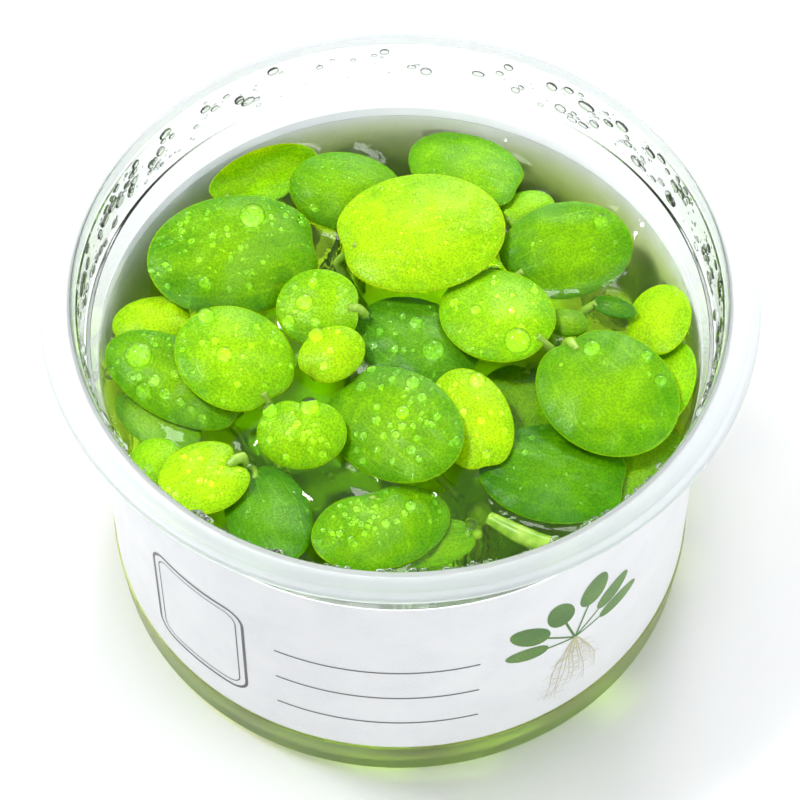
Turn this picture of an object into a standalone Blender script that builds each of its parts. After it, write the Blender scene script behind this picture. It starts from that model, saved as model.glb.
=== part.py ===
"""A clear culture cup of floating frogbit, at its real size.

Metres, +Z up, the origin on the floor under the middle of the cup, the front of the label at -Y.
The cup holds water, six small plants whose leaves crowd the surface, and the root tufts under them.
"""

import math
from dataclasses import dataclass, replace

import bmesh
import bpy
import numpy as np

MM = 0.001

# Cup
CUP_HEIGHT = 67.5 * MM
RIM_RADIUS = 55.0 * MM
MOUTH_RADIUS = 50.2 * MM
RIM_THICKNESS = 0.8 * MM
SKIRT_DEPTH = 1.2 * MM
LEDGE_Z = 57.8 * MM
WALL = 0.8 * MM
SHOULDER_RADIUS = 47.8 * MM
BASE_RADIUS = 46.9 * MM
BASE_CORNER = 0.8 * MM
FOOT_INNER = 40.5 * MM
BASE_RECESS = 0.8 * MM
FLOOR_Z = 1.8 * MM
FLOOR_RADIUS = 44.2 * MM
FLOOR_CORNER = 2.0 * MM
FLOOR_CORNER_Z = 3.8 * MM
LEDGE_STEP = 0.6 * MM
MOUTH_CHAMFER_Z = CUP_HEIGHT - 2.3 * MM
RIM_EDGE = 0.5 * MM
SKIRT_THICKNESS = 0.7 * MM
CUP_STEPS = 40

# Label
LABEL_TOP = 52.3 * MM
LABEL_BOTTOM = 8.8 * MM
LABEL_RECESS = 0.5 * MM
LABEL_THICKNESS = 0.2 * MM
LABEL_BOTTOM_RADIUS = 47.3 * MM
LABEL_MARGIN = 0.35 * MM

# The cup's inside: heights, and its radius at each of them
INSIDE_HEIGHTS = (FLOOR_CORNER_Z, LABEL_TOP, LEDGE_Z - LEDGE_STEP, LEDGE_Z, MOUTH_CHAMFER_Z)
INSIDE_RADII = (45.7 * MM, 46.9 * MM, 47.9 * MM, 48.7 * MM, 49.3 * MM)

# Water
WATER_LEVEL = 50.0 * MM
WATER_STEPS = 32
WATER_CORNER_Z = 4.4 * MM
WATER_FLOOR_RADIUS = 43.2 * MM
WALL_RISE = 0.6 * MM
WALL_RISE_WIDTH = 2.0 * MM
GAP = 0.35 * MM
DISH_STEPS = 10
DISH_TOP = 60.0 * MM
VENT_RADIUS = 0.8 * MM

# Leaves. The photo's eye point is where every leaf is sighted from: a leaf that is raised
# slides along its line of sight, so that its outline keeps its place in the picture.
EYE = np.array([0.0, -311.0, 500.5]) * MM
LEAF_LEVEL = 50.6 * MM
LEAF_SPOKES = 14
LEAF_RINGS = 4
LEAF_MIDDLE_RING = 0.62
LEAF_THICKNESS = 1.1 * MM
EDGE_THICKNESS_SHARE = 0.42
TIP_SHARE = 0.03
NOTCH_SPREAD = 0.34
DOME_LEVEL = 0.45
CURL_START = 0.25
LEAF_GAP = 0.4 * MM
MAP_CELL = 0.5 * MM
SLOPES = (-0.24, -0.16, -0.08, 0.0, 0.08, 0.16, 0.24)
SLOPE_PRICE = 6.0 * MM
PETIOLE_RADIUS = 0.75 * MM
PETIOLE_CORNER = 0.9 * MM
WAY_GAP = 0.45 * MM
PETIOLE_STEPS = 4
SHORTEST_PETIOLE = 3.0 * MM

# Root tufts
CROWN_Z = 40.5 * MM
CROWN_RADIUS = 2.2 * MM
ROOT_TOP_Z = CROWN_Z - 3.0 * MM
TUFT_RADIUS = 5.0 * MM
TUFT_TIP_Z = 4.0 * MM
TUFT_STEPS = 8


@dataclass(frozen=True)
class Leaf:
    """One leaf: its middle, length and width in mm as sighted at LEAF_LEVEL, and how it sits.

    heading is the way from its base to its tip, in degrees from +X. dome lifts its middle, as a share
    of its width, and is negative on a cupped leaf. rise is its own slope towards rise_to. curl rolls
    its base upwards, and arch lifts its stalk above the notch before it goes down, both in mm.
    """

    name: str
    plant: str
    x: float
    y: float
    length: float
    width: float
    heading: float
    sink: float = 0.0
    dome: float = 0.07
    notch: float = 0.10
    rise: float = 0.0
    rise_to: float = 0.0
    curl: float = 0.0
    arch: float = 0.0


# Where each plant's crown stands, in mm
PLANTS = {
    "centre": (-4.0, 11.0),
    "right": (27.0, 3.0),
    "left": (-32.0, 6.0),
    "front_left": (-20.5, -19.0),
    "front_right": (12.0, -25.0),
    "back": (-8.0, 31.0),
}

# From the lowest leaf to the topmost one, as they cover each other in the photo
LEAVES = (
    Leaf("leaf_sunk_front", "front_right", 4.5, -35.5, 15.5, 8.5, 193, sink=3.4, dome=0.03),
    Leaf("leaf_sunk_middle", "right", 18.5, -10.2, 15.0, 14.0, 258, sink=4.2, dome=0.04),
    Leaf("leaf_sunk_right", "right", 37.0, -21.0, 18.5, 8.5, 234, sink=2.6, dome=0.03),
    Leaf("leaf_sunk_left", "left", -37.6, -12.6, 16.5, 10.0, 318, sink=2.4, dome=0.05),
    Leaf("leaf_arched_back", "back", -22.4, 34.2, 19.6, 11.0, 31, sink=0.6, dome=-0.2, rise=0.5, rise_to=125),
    Leaf("leaf_wall_right", "right", 42.4, -6.2, 16.0, 7.6, 74, dome=0.05, rise=0.45, rise_to=0),
    Leaf("leaf_pale_left", "left", -38.6, 5.8, 13.0, 9.6, 191, dome=0.08),
    Leaf("leaf_small_back", "right", 20.4, 27.7, 9.3, 7.4, 27, dome=0.07),
    Leaf("leaf_round_back", "back", 11.0, 35.6, 19.8, 14.4, 156, dome=0.09),
    Leaf("leaf_dark_back", "back", -8.1, 31.1, 19.8, 15.8, 155, dome=0.10),
    Leaf("leaf_tiny_front", "front_left", -21.4, -36.3, 4.8, 3.2, 200, sink=0.6, dome=0.06),
    Leaf("leaf_edge_left", "front_left", -37.4, -20.6, 8.6, 8.2, 120, dome=0.07),
    Leaf("leaf_dark_front", "front_left", -20.0, -29.7, 18.2, 13.0, 289, sink=0.8, dome=0.06),
    Leaf("leaf_kidney_front", "front_right", -2.9, -32.0, 14.8, 21.6, 287, sink=0.4, dome=0.07, notch=0.16),
    Leaf("leaf_dark_right", "front_right", 23.9, -22.7, 23.5, 17.8, 169, sink=0.4, dome=0.06),
    Leaf("leaf_upright_right", "right", 41.2, 6.0, 14.2, 9.8, 71, dome=0.06, rise=0.40, rise_to=25),
    Leaf("leaf_olive_right", "right", 26.2, 5.6, 7.0, 5.2, 350, sink=0.6, dome=0.05),
    Leaf("leaf_young_right", "right", 33.6, 8.6, 7.4, 3.8, 340, dome=-0.10, rise=0.2, rise_to=90),
    Leaf("leaf_round_right", "right", 26.3, 19.3, 21.9, 19.3, 29, dome=0.08),
    Leaf("leaf_blue_middle", "centre", 3.1, 1.5, 21.4, 16.1, 146, dome=0.07),
    Leaf("leaf_long_left", "left", -34.3, -5.5, 26.0, 14.4, 145, dome=0.09),
    Leaf("leaf_big_left", "left", -25.8, 18.8, 28.0, 23.7, 190, dome=0.07),
    Leaf("leaf_bright_right", "right", 15.6, 6.8, 18.8, 17.4, 146, dome=0.08, notch=0.04),
    Leaf("leaf_pale_middle", "front_right", 11.1, -13.0, 19.5, 12.6, 104, dome=0.08),
    Leaf("leaf_big_right", "right", 32.0, -7.3, 24.6, 21.3, 300, dome=0.07),
    Leaf("leaf_big_middle", "front_right", -1.1, -13.3, 23.1, 19.6, 313, dome=0.08),
    Leaf("leaf_notched_left", "front_left", -29.6, -23.2, 14.5, 12.9, 211, dome=0.05, notch=0.30, arch=9.0),
    Leaf("leaf_big_back", "centre", 2.7, 23.1, 27.7, 23.3, 14, dome=0.08),
    Leaf("leaf_rolled", "centre", -12.6, 8.4, 13.5, 15.1, 180, dome=0.04, curl=3.2),
    Leaf("leaf_bright_left", "front_left", -25.6, -1.5, 21.2, 17.6, 125, dome=0.07),
    Leaf("leaf_small_middle", "centre", -10.8, -0.6, 11.6, 9.6, 50, dome=0.06),
    Leaf("leaf_round_middle", "front_left", -15.1, -15.0, 13.2, 13.9, 265, dome=0.07, notch=0.20),
)

# Runners between plants: name, then the points they pass through, in mm
RUNNERS = {
    "runner_front": ((13.5, -29.5, 48.6), (19.0, -33.2, 49.0), (24.5, -35.2, 48.6), (30.0, -33.5, 47.2)),
    "runner_back": ((-5.5, 15.0, 37.0), (-7.5, 20.0, 35.5), (-8.0, 26.5, 37.0)),
    "runner_left": ((-29.5, 1.5, 37.0), (-26.0, -6.5, 35.5), (-23.5, -14.5, 37.0)),
}
RUNNER_RADII = {"runner_front": 1.5 * MM, "runner_back": 0.8 * MM, "runner_left": 0.8 * MM}
RUNNER_STEPS = 7

# How far each runner's way through the water goes on past its ends. The deep ones reach two crowns.
RUNNER_REACHES = {"runner_front": GAP, "runner_back": 3.0 * MM, "runner_left": 3.0 * MM}


def clear_scene():
    """Remove the objects that the file opened with."""
    for obj in list(bpy.data.objects):
        bpy.data.objects.remove(obj, do_unlink=True)


def material(name, colour, roughness, transmission=0.0):
    """A plain material with the part's colour and roughness."""
    made = bpy.data.materials.new(name)
    made.use_nodes = True
    shader = made.node_tree.nodes["Principled BSDF"]
    shader.inputs["Base Color"].default_value = (*colour, 1.0)
    shader.inputs["Roughness"].default_value = roughness
    shader.inputs["Metallic"].default_value = 0.0
    shader.inputs["Transmission Weight"].default_value = transmission
    return made


def add_object(name, mesh, collection, finish=None):
    """Put a mesh in the scene as a named object."""
    obj = bpy.data.objects.new(name, mesh)
    if finish is not None:
        mesh.materials.clear()
        mesh.materials.append(finish)
    collection.objects.link(obj)
    return obj


def hide_helper(obj):
    """Keep a cutter or a guide out of the part."""
    obj.hide_render = True
    obj.display_type = "WIRE"


def turned(name, profile, steps, collection, finish=None, closed=False):
    """Turn a profile of (radius, height) points about Z. It runs down the outer side."""
    mesh = bpy.data.meshes.new(name)
    edges = [(i, i + 1) for i in range(len(profile) - 1)]
    if closed:
        edges.append((len(profile) - 1, 0))
    mesh.from_pydata([(radius, 0.0, height) for radius, height in profile], edges, [])
    obj = add_object(name, mesh, collection, finish)
    screw = obj.modifiers.new("Turn", "SCREW")
    screw.steps = screw.render_steps = steps
    screw.use_merge_vertices = True
    screw.merge_threshold = 0.00005
    return obj


def arc(centre, radius, start, end, count):
    """Points on an arc in the profile's plane, angles in degrees."""
    angles = [math.radians(start + (end - start) * i / (count - 1)) for i in range(count)]
    return [(centre[0] + radius * math.cos(a), centre[1] + radius * math.sin(a)) for a in angles]


def inner_radius(height):
    """The radius of the cup's inside at a height above its bottom corner."""
    return float(np.interp(height, INSIDE_HEIGHTS, INSIDE_RADII))


def build_cup(collection):
    """The clear cup, with its flat rim, lid ledge, label recess and foot ring."""
    recess_top = LABEL_TOP + LABEL_MARGIN
    recess_bottom = LABEL_BOTTOM - LABEL_MARGIN
    inside = [
        (0.0, FLOOR_Z),
        (FLOOR_RADIUS, FLOOR_Z),
        *arc((inner_radius(FLOOR_CORNER_Z) - FLOOR_CORNER, FLOOR_CORNER_Z), FLOOR_CORNER, -60, 0, 3),
        (inner_radius(LABEL_TOP), LABEL_TOP),
        (inner_radius(LEDGE_Z - LEDGE_STEP), LEDGE_Z - LEDGE_STEP),
        (inner_radius(LEDGE_Z), LEDGE_Z),
        (inner_radius(MOUTH_CHAMFER_Z), MOUTH_CHAMFER_Z),
        (MOUTH_RADIUS - 0.5 * RIM_EDGE, CUP_HEIGHT - RIM_EDGE),
        (MOUTH_RADIUS, CUP_HEIGHT),
    ]
    outside = [
        (RIM_RADIUS - RIM_EDGE, CUP_HEIGHT),
        (RIM_RADIUS, CUP_HEIGHT - RIM_EDGE),
        (RIM_RADIUS, CUP_HEIGHT - SKIRT_DEPTH),
        (RIM_RADIUS - SKIRT_THICKNESS, CUP_HEIGHT - SKIRT_DEPTH),
        (RIM_RADIUS - SKIRT_THICKNESS, CUP_HEIGHT - RIM_THICKNESS),
        (MOUTH_RADIUS + SKIRT_THICKNESS, CUP_HEIGHT - RIM_THICKNESS),
        (MOUTH_RADIUS, MOUTH_CHAMFER_Z - 0.3 * MM),
        (inner_radius(LEDGE_Z) + WALL, LEDGE_Z - 0.5 * LEDGE_STEP),
        (inner_radius(LEDGE_Z - LEDGE_STEP) + WALL, LEDGE_Z - 1.5 * LEDGE_STEP),
        (SHOULDER_RADIUS, recess_top),
        (SHOULDER_RADIUS - LABEL_RECESS, recess_top),
        (LABEL_BOTTOM_RADIUS - LABEL_RECESS, recess_bottom),
        (LABEL_BOTTOM_RADIUS + 0.5 * LABEL_RECESS, recess_bottom),
        *arc((BASE_RADIUS - BASE_CORNER, BASE_CORNER), BASE_CORNER, 0, -90, 3),
        (FOOT_INNER, 0.0),
        (FOOT_INNER - BASE_RECESS, BASE_RECESS),
        (0.0, BASE_RECESS),
    ]
    finish = material("clear plastic", (0.93, 0.96, 0.96), 0.08, transmission=0.9)
    return turned("cup", inside + outside, CUP_STEPS, collection, finish)


def build_label(collection):
    """The white wrap that lies in the recess round the cup."""
    profile = [
        (SHOULDER_RADIUS, LABEL_TOP),
        (LABEL_BOTTOM_RADIUS, LABEL_BOTTOM),
        (LABEL_BOTTOM_RADIUS - LABEL_THICKNESS, LABEL_BOTTOM),
        (SHOULDER_RADIUS - LABEL_THICKNESS, LABEL_TOP),
    ]
    finish = material("white label", (0.90, 0.91, 0.92), 0.45)
    return turned("label_band", profile, CUP_STEPS, collection, finish, closed=True)


def outline_share(leaf, angle):
    """How far the edge stands from the middle at an angle from the tip, 1 on a plain oval."""
    from_base = np.abs(np.abs(angle) - math.pi)
    notch = leaf.notch * np.exp(-((from_base / NOTCH_SPREAD) ** 2))
    return 1.0 + TIP_SHARE * np.cos(angle) - notch


def blade_points(leaf, across, angle):
    """Places on the blade's middle surface before it is set down: offsets and heights in metres.

    across runs from 0 at the middle to 1 at the edge, and angle is measured from the tip.
    """
    share = across * outline_share(leaf, angle)
    along = 0.5 * leaf.length * MM * share * np.cos(angle)
    aside = 0.5 * leaf.width * MM * share * np.sin(angle)
    heading = math.radians(leaf.heading)
    dx = along * math.cos(heading) - aside * math.sin(heading)
    dy = along * math.sin(heading) + aside * math.cos(heading)
    height = leaf.dome * leaf.width * MM * (DOME_LEVEL - across**2)
    to_base = np.maximum(0.0, -share * np.cos(angle) - CURL_START)
    height = height + leaf.curl * MM * to_base**2
    slope = math.radians(leaf.rise_to)
    height = height + leaf.rise * (dx * math.cos(slope) + dy * math.sin(slope))
    return dx, dy, height


def sight_slope(leaf):
    """How far a leaf moves in X and Y for each metre that it rises along its line of sight."""
    middle = np.array([leaf.x * MM, leaf.y * MM, LEAF_LEVEL])
    return (EYE[:2] - middle[:2]) / (EYE[2] - middle[2])


@dataclass
class Seat:
    """Where a leaf came to lie: its height, its added slopes and a nudge off the wall."""

    height: float
    slope_x: float
    slope_y: float
    nudge: np.ndarray


def set_down(leaf, seat, dx, dy, height):
    """The blade's points in world space for a seat."""
    lift = height + seat.height + seat.slope_x * dx + seat.slope_y * dy
    slide = sight_slope(leaf)
    x = leaf.x * MM + seat.nudge[0] + dx + lift * slide[0]
    y = leaf.y * MM + seat.nudge[1] + dy + lift * slide[1]
    return np.stack([x, y, LEAF_LEVEL + lift], axis=-1)


def half_thickness(across):
    """Half of the blade's thickness, which thins towards the edge."""
    return 0.5 * LEAF_THICKNESS * (1.0 - (1.0 - EDGE_THICKNESS_SHARE) * across**2)


def dense_blade(leaf):
    """Many points over a blade, as (offset x, offset y, height, half thickness)."""
    across, angle = np.meshgrid(np.linspace(0.02, 1.0, 34), np.linspace(-math.pi, math.pi, 120))
    across, angle = across.ravel(), angle.ravel()
    return (*blade_points(leaf, across, angle), half_thickness(across))


def cell_of(points):
    """Row and column of each point in the height map."""
    side = int(round(2 * RIM_RADIUS / MAP_CELL))
    cells = np.floor((points[:, :2] + RIM_RADIUS) / MAP_CELL).astype(int)
    return np.clip(cells, 1, side - 2)


def reach_out(points):
    """How far these points pass the cup's inner wall, and which way is inwards."""
    radius = np.hypot(points[:, 0], points[:, 1])
    over = radius - (water_radius(LEAF_LEVEL) - 0.1 * MM)
    worst = int(np.argmax(over))
    return over[worst], -points[worst, :2] / max(radius[worst], 1e-6)


def clear_height(leaf, seat, dense, tops):
    """The lowest height at which the leaf clears all that lies under it."""
    dx, dy, height, half = dense
    points = set_down(leaf, seat, dx, dy, height)
    cells = cell_of(points)
    below = tops[cells[:, 0], cells[:, 1]]
    return seat.height + max(0.0, float((below + LEAF_GAP - (points[:, 2] - half)).max()))


def off_the_wall(leaf, seat, dense):
    """Nudge a seat inwards until the leaf stays inside the cup."""
    dx, dy, height, _ = dense
    for _ in range(6):
        over, inwards = reach_out(set_down(leaf, seat, dx, dy, height))
        if over <= 0.0:
            return
        seat.nudge = seat.nudge + inwards * over


def settle(leaf, tops):
    """Lower one leaf onto those already laid, leaning the way that lets it lie lowest."""
    dense = dense_blade(leaf)
    floating = -leaf.sink * MM
    best, best_cost = None, math.inf
    for slope_x in SLOPES:
        for slope_y in SLOPES:
            seat = Seat(floating, slope_x, slope_y, np.zeros(2))
            for _ in range(3):
                off_the_wall(leaf, seat, dense)
                seat.height = clear_height(leaf, seat, dense, tops)
            cost = seat.height + SLOPE_PRICE * (slope_x**2 + slope_y**2)
            if cost < best_cost:
                best, best_cost = seat, cost
    points = set_down(leaf, best, *dense[:3])
    cells = cell_of(points)
    top = points[:, 2] + dense[3]
    for row in (-1, 0, 1):
        for column in (-1, 0, 1):
            np.maximum.at(tops, (cells[:, 0] + row, cells[:, 1] + column), top)
    return best


def blade_mesh(leaf, seat, grown=0.0):
    """A sphere's net drawn out into the blade: domed on top, thin at its edge, notched at its base."""
    middle = set_down(leaf, seat, *blade_points(leaf, np.array(0.0), np.array(0.0)))
    net = bmesh.new()
    bmesh.ops.create_uvsphere(net, u_segments=LEAF_SPOKES, v_segments=LEAF_RINGS, radius=1.0)
    for vertex in net.verts:
        x, y, z = vertex.co
        ring = round(math.asin(min(1.0, math.hypot(x, y))) / math.radians(45))
        across = (0.0, LEAF_MIDDLE_RING, 1.0)[ring]
        angle = math.atan2(y, x)
        point = set_down(leaf, seat, *blade_points(leaf, np.array(across), np.array(angle)))
        outward = point - middle
        point = point + outward * 2 * grown / max(np.linalg.norm(outward), 1e-6) * across
        if across < 1.0:
            point[2] += math.copysign(half_thickness(across) + grown, z)
        vertex.co = point
    mesh = bpy.data.meshes.new(leaf.name)
    net.to_mesh(mesh)
    net.free()
    return mesh


def bezier(points, count):
    """Points along a cubic curve with four control points."""
    t = np.linspace(0.0, 1.0, count)[:, None]
    a, b, c, d = points
    return (1 - t) ** 3 * a + 3 * (1 - t) ** 2 * t * b + 3 * (1 - t) * t**2 * c + t**3 * d


def petiole_route(leaf, seat):
    """From inside the blade's base, out of the notch, down and over to the plant's crown."""
    base = blade_points(leaf, np.array([0.80, 1.0]), np.array([math.pi, math.pi]))
    inner, edge = set_down(leaf, seat, *base)
    outward = edge - inner
    outward = outward / max(np.linalg.norm(outward), 1e-9)
    crown = np.array([*(value * MM for value in PLANTS[leaf.plant]), CROWN_Z])
    away = crown - edge
    away[2] = 0.0
    stand_off = CROWN_RADIUS + PETIOLE_RADIUS + 0.5 * MM
    side = away / max(np.linalg.norm(away), 1e-9)
    end = crown - side * stand_off
    span = np.linalg.norm(end - edge)
    drop = np.array([0.0, 0.0, -1.0])
    first = edge + outward * 0.25 * span + drop * 0.30 * span
    first[2] += leaf.arch * MM
    last = end + np.array([0.0, 0.0, 0.35 * span])
    return np.vstack([inner[None, :], bezier((edge, first, last, end), 60)])


def clear_of(points, others, distance):
    """How many of these points, from the first, keep a distance from all the others."""
    for index, point in enumerate(points):
        if len(others) and ((others - point) ** 2).sum(axis=1).min() < distance**2:
            return index
        if math.hypot(point[0], point[1]) > inner_radius(point[2]) - distance:
            return index
    return len(points)


def tube(name, points, radius, collection, finish=None, taper=None, detail=1):
    """A round tube through points, as a curve object with filled caps and 4 + 2 * detail sides."""
    curve = bpy.data.curves.new(name, "CURVE")
    curve.dimensions = "3D"
    curve.bevel_depth = radius
    curve.bevel_resolution = detail
    curve.use_fill_caps = True
    spline = curve.splines.new("POLY")
    spline.points.add(len(points) - 1)
    for index, point in enumerate(points):
        spline.points[index].co = (*point, 1.0)
        spline.points[index].radius = 1.0 if taper is None else taper[index]
    if finish is not None:
        curve.materials.append(finish)
    obj = bpy.data.objects.new(name, curve)
    collection.objects.link(obj)
    return obj


def as_mesh(obj, collection):
    """Turn a curve object into a closed mesh object of the same name."""
    name = obj.name
    bpy.context.view_layer.update()
    graph = bpy.context.evaluated_depsgraph_get()
    mesh = bpy.data.meshes.new_from_object(obj.evaluated_get(graph))
    net = bmesh.new()
    net.from_mesh(mesh)
    bmesh.ops.remove_doubles(net, verts=net.verts, dist=0.00001)
    bmesh.ops.recalc_face_normals(net, faces=net.faces)
    net.to_mesh(mesh)
    net.free()
    place = obj.matrix_world.copy()
    bpy.data.objects.remove(obj, do_unlink=True)
    made = add_object(name, mesh, collection)
    made.matrix_world = place
    return made


def evenly(points, count):
    """This many points read from a line at equal steps along it."""
    steps = np.linalg.norm(np.diff(points, axis=0), axis=1)
    along = np.concatenate([[0.0], np.cumsum(steps)])
    wanted = np.linspace(0.0, along[-1], count)
    return np.stack([np.interp(wanted, along, points[:, axis]) for axis in range(3)], axis=1)


def tuft_profile(grown=0.0):
    """A crown and the root mass under it, as (radius, height) points down its outer side."""
    shape = (
        (0.35, CROWN_Z + 1.4 * MM),
        (1.00, CROWN_Z - 0.6 * MM),
        (0.75, ROOT_TOP_Z),
    )
    profile = [(0.0, CROWN_Z + 1.6 * MM + grown)]
    profile += [(share * CROWN_RADIUS + grown, height) for share, height in shape]
    depth = ROOT_TOP_Z - TUFT_TIP_Z
    for share, down in ((0.70, 0.16), (1.00, 0.42), (0.82, 0.70), (0.42, 0.92)):
        profile.append((share * TUFT_RADIUS + grown, ROOT_TOP_Z - down * depth))
    profile.append((0.0, TUFT_TIP_Z - grown))
    return profile


def pocket_profile():
    """The space that a root tuft hangs in. It opens through the water's floor, under the roots."""
    depth = ROOT_TOP_Z - TUFT_TIP_Z
    neck, belly, foot = CROWN_RADIUS + 0.5 * MM, TUFT_RADIUS + GAP, 0.42 * TUFT_RADIUS + 0.5 * MM
    return [
        (0.0, CROWN_Z + 2.6 * MM),
        (neck, CROWN_Z - 0.2 * MM),
        (neck, ROOT_TOP_Z - 0.03 * depth),
        (belly, ROOT_TOP_Z - 0.34 * depth),
        (belly, ROOT_TOP_Z - 0.58 * depth),
        (foot, ROOT_TOP_Z - 0.93 * depth),
        (VENT_RADIUS, TUFT_TIP_Z - GAP),
        (VENT_RADIUS, 0.0),
        (0.0, 0.0),
    ]


def build_tufts(collection, helpers):
    """One root tuft under each plant, and the cutter for the water round it."""
    finish = material("pale root", (0.55, 0.62, 0.30), 0.6)
    cutters = []
    for plant, (x, y) in PLANTS.items():
        tuft = turned("roots_" + plant, tuft_profile(), TUFT_STEPS, collection, finish)
        cutter = turned("pocket_" + plant, pocket_profile(), TUFT_STEPS, helpers)
        tuft.location = cutter.location = (x * MM, y * MM, 0.0)
        cutters.append(cutter)
    return cutters


def tuft_points():
    """Points on the upper half of every tuft, for clearances."""
    found = []
    turns = np.linspace(0, 2 * math.pi, 16, endpoint=False)
    profile = np.array(tuft_profile()[1:6])
    for x, y in PLANTS.values():
        for radius, height in evenly(np.column_stack([profile, np.zeros(len(profile))]), 14)[:, :2]:
            ring = np.column_stack([radius * np.cos(turns), radius * np.sin(turns), turns * 0.0])
            found.append(ring + np.array([x * MM, y * MM, height]))
    return np.vstack(found)


def skin_points(route, radius):
    """Points round the skin of a tube along a route."""
    turns = np.linspace(0, 2 * math.pi, 8, endpoint=False)
    rings = [route + np.array([radius * math.cos(turn), radius * math.sin(turn), 0.0]) for turn in turns]
    return np.vstack([*rings, route - np.array([0.0, 0.0, radius])])


def petiole_routes(seats):
    """The way that each leaf's stalk takes, up to where it would meet something else."""
    shells = {}
    for leaf in LEAVES:
        dense = dense_blade(leaf)
        middle = set_down(leaf, seats[leaf.name], *dense[:3])
        half = dense[3][:, None] * np.array([0.0, 0.0, 1.0])
        shells[leaf.name] = np.vstack([middle - half, middle + half])
    taken = [tuft_points()]
    for name, points in RUNNERS.items():
        taken.append(skin_points(evenly(np.array(points) * MM, 40), RUNNER_RADII[name]))
    routes = {}
    for leaf in sorted(LEAVES, key=lambda each: -each.arch):
        route = petiole_route(leaf, seats[leaf.name])
        others = [shells[other.name][::3] for other in LEAVES if other is not leaf]
        free = clear_of(route[1:], np.vstack(others + taken), PETIOLE_RADIUS + GAP + 0.25 * MM)
        kept = route[: free + 1]
        if free < 2 or np.linalg.norm(np.diff(kept, axis=0), axis=1).sum() < SHORTEST_PETIOLE:
            continue
        routes[leaf.name] = evenly(kept, PETIOLE_STEPS)
        taken.append(skin_points(evenly(routes[leaf.name], 60), PETIOLE_RADIUS))
    return routes


def build_leaves(collection, helpers, seats, routes):
    """Every leaf, with its stalk joined to its blade."""
    finish = material("leaf green", (0.25, 0.55, 0.03), 0.35)
    for leaf in LEAVES:
        blade = add_object(leaf.name, blade_mesh(leaf, seats[leaf.name]), collection, finish)
        if leaf.name not in routes:
            continue
        stalk = as_mesh(tube("stalk_" + leaf.name, routes[leaf.name], PETIOLE_CORNER, helpers, detail=0), helpers)
        hide_helper(stalk)
        join = blade.modifiers.new("Petiole", "BOOLEAN")
        join.operation = "UNION"
        join.object = stalk


def build_runners(collection):
    """The stalks that join one plant to the next under the leaves."""
    finish = material("runner green", (0.35, 0.60, 0.10), 0.4)
    for name, points in RUNNERS.items():
        route = evenly(np.array(points) * MM, RUNNER_STEPS)
        tube(name, route, RUNNER_RADII[name], collection, finish, taper=(0.7, 0.9, 1.0, 1.0, 1.0, 0.9, 0.7))


def water_radius(height):
    """The water's radius at a height, a gap inside the cup's faceted wall."""
    return inner_radius(height) * math.cos(math.pi / CUP_STEPS) - GAP


def prolonged(route, margin):
    """A route with both of its ends drawn out by a margin."""
    first, last = route[0] - route[1], route[-1] - route[-2]
    start = route[0] + first / np.linalg.norm(first) * margin
    end = route[-1] + last / np.linalg.norm(last) * margin
    return np.vstack([start, route, end])


def channel(name, route, corner, helpers):
    """The square cutter for a stalk's way through the water."""
    return as_mesh(tube(name, route, corner, helpers, detail=0), helpers)


def dish(leaf, seat, lowest, helpers):
    """The cutter for the dish that a floating leaf lies in: a cylinder drawn out to the leaf's oval."""
    oval = replace(leaf, notch=0.0)
    middle = set_down(leaf, seat, *blade_points(leaf, np.array(0.0), np.array(0.0)))[:2]
    past_edge = np.array(1.0 / math.cos(math.pi / DISH_STEPS))
    net = bmesh.new()
    bmesh.ops.create_cone(net, cap_ends=True, segments=DISH_STEPS, radius1=1.0, radius2=1.0, depth=2.0)
    for vertex in net.verts:
        angle = np.array(math.atan2(vertex.co.y, vertex.co.x))
        edge = set_down(leaf, seat, *blade_points(oval, past_edge, angle))[:2]
        outward = (edge - middle) / np.linalg.norm(edge - middle)
        vertex.co = (*(edge + outward * LEAF_GAP), DISH_TOP if vertex.co.z > 0.0 else lowest - GAP)
    mesh = bpy.data.meshes.new("dish_" + leaf.name)
    net.to_mesh(mesh)
    net.free()
    return add_object(mesh.name, mesh, helpers)


def water_height(radius):
    """The water's height at a distance from the middle: it rises a little to the cup's wall."""
    edge = water_radius(WATER_LEVEL)
    return WATER_LEVEL + WALL_RISE * np.clip((radius - edge + WALL_RISE_WIDTH) / WALL_RISE_WIDTH, 0.0, 1.0)


def leaf_cutters(seats, helpers):
    """A dish for each leaf that touches the surface, and a hollow for each one under it.

    A hollow opens through the water's floor by a vent, so that the water stays one closed skin.
    """
    cutters = []
    for leaf in LEAVES:
        seat = seats[leaf.name]
        dense = dense_blade(leaf)
        points = set_down(leaf, seat, *dense[:3])
        lowest = points[:, 2] - dense[3]
        surface = water_height(np.hypot(points[:, 0], points[:, 1]))
        if (points[:, 2] + dense[3]).max() + 2 * GAP < WATER_LEVEL:
            hollow = blade_mesh(leaf, seat, GAP)
            cutters.append(add_object("hollow_" + leaf.name, hollow, helpers))
            middle = set_down(leaf, seat, *blade_points(leaf, np.array(0.0), np.array(0.0)))
            vent = np.array([middle, middle * (1.0, 1.0, 0.0)])
            cutters.append(channel("vent_" + leaf.name, vent, VENT_RADIUS, helpers))
        elif (lowest < surface + GAP).any():
            cutters.append(dish(leaf, seat, lowest.min(), helpers))
    return cutters


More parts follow.
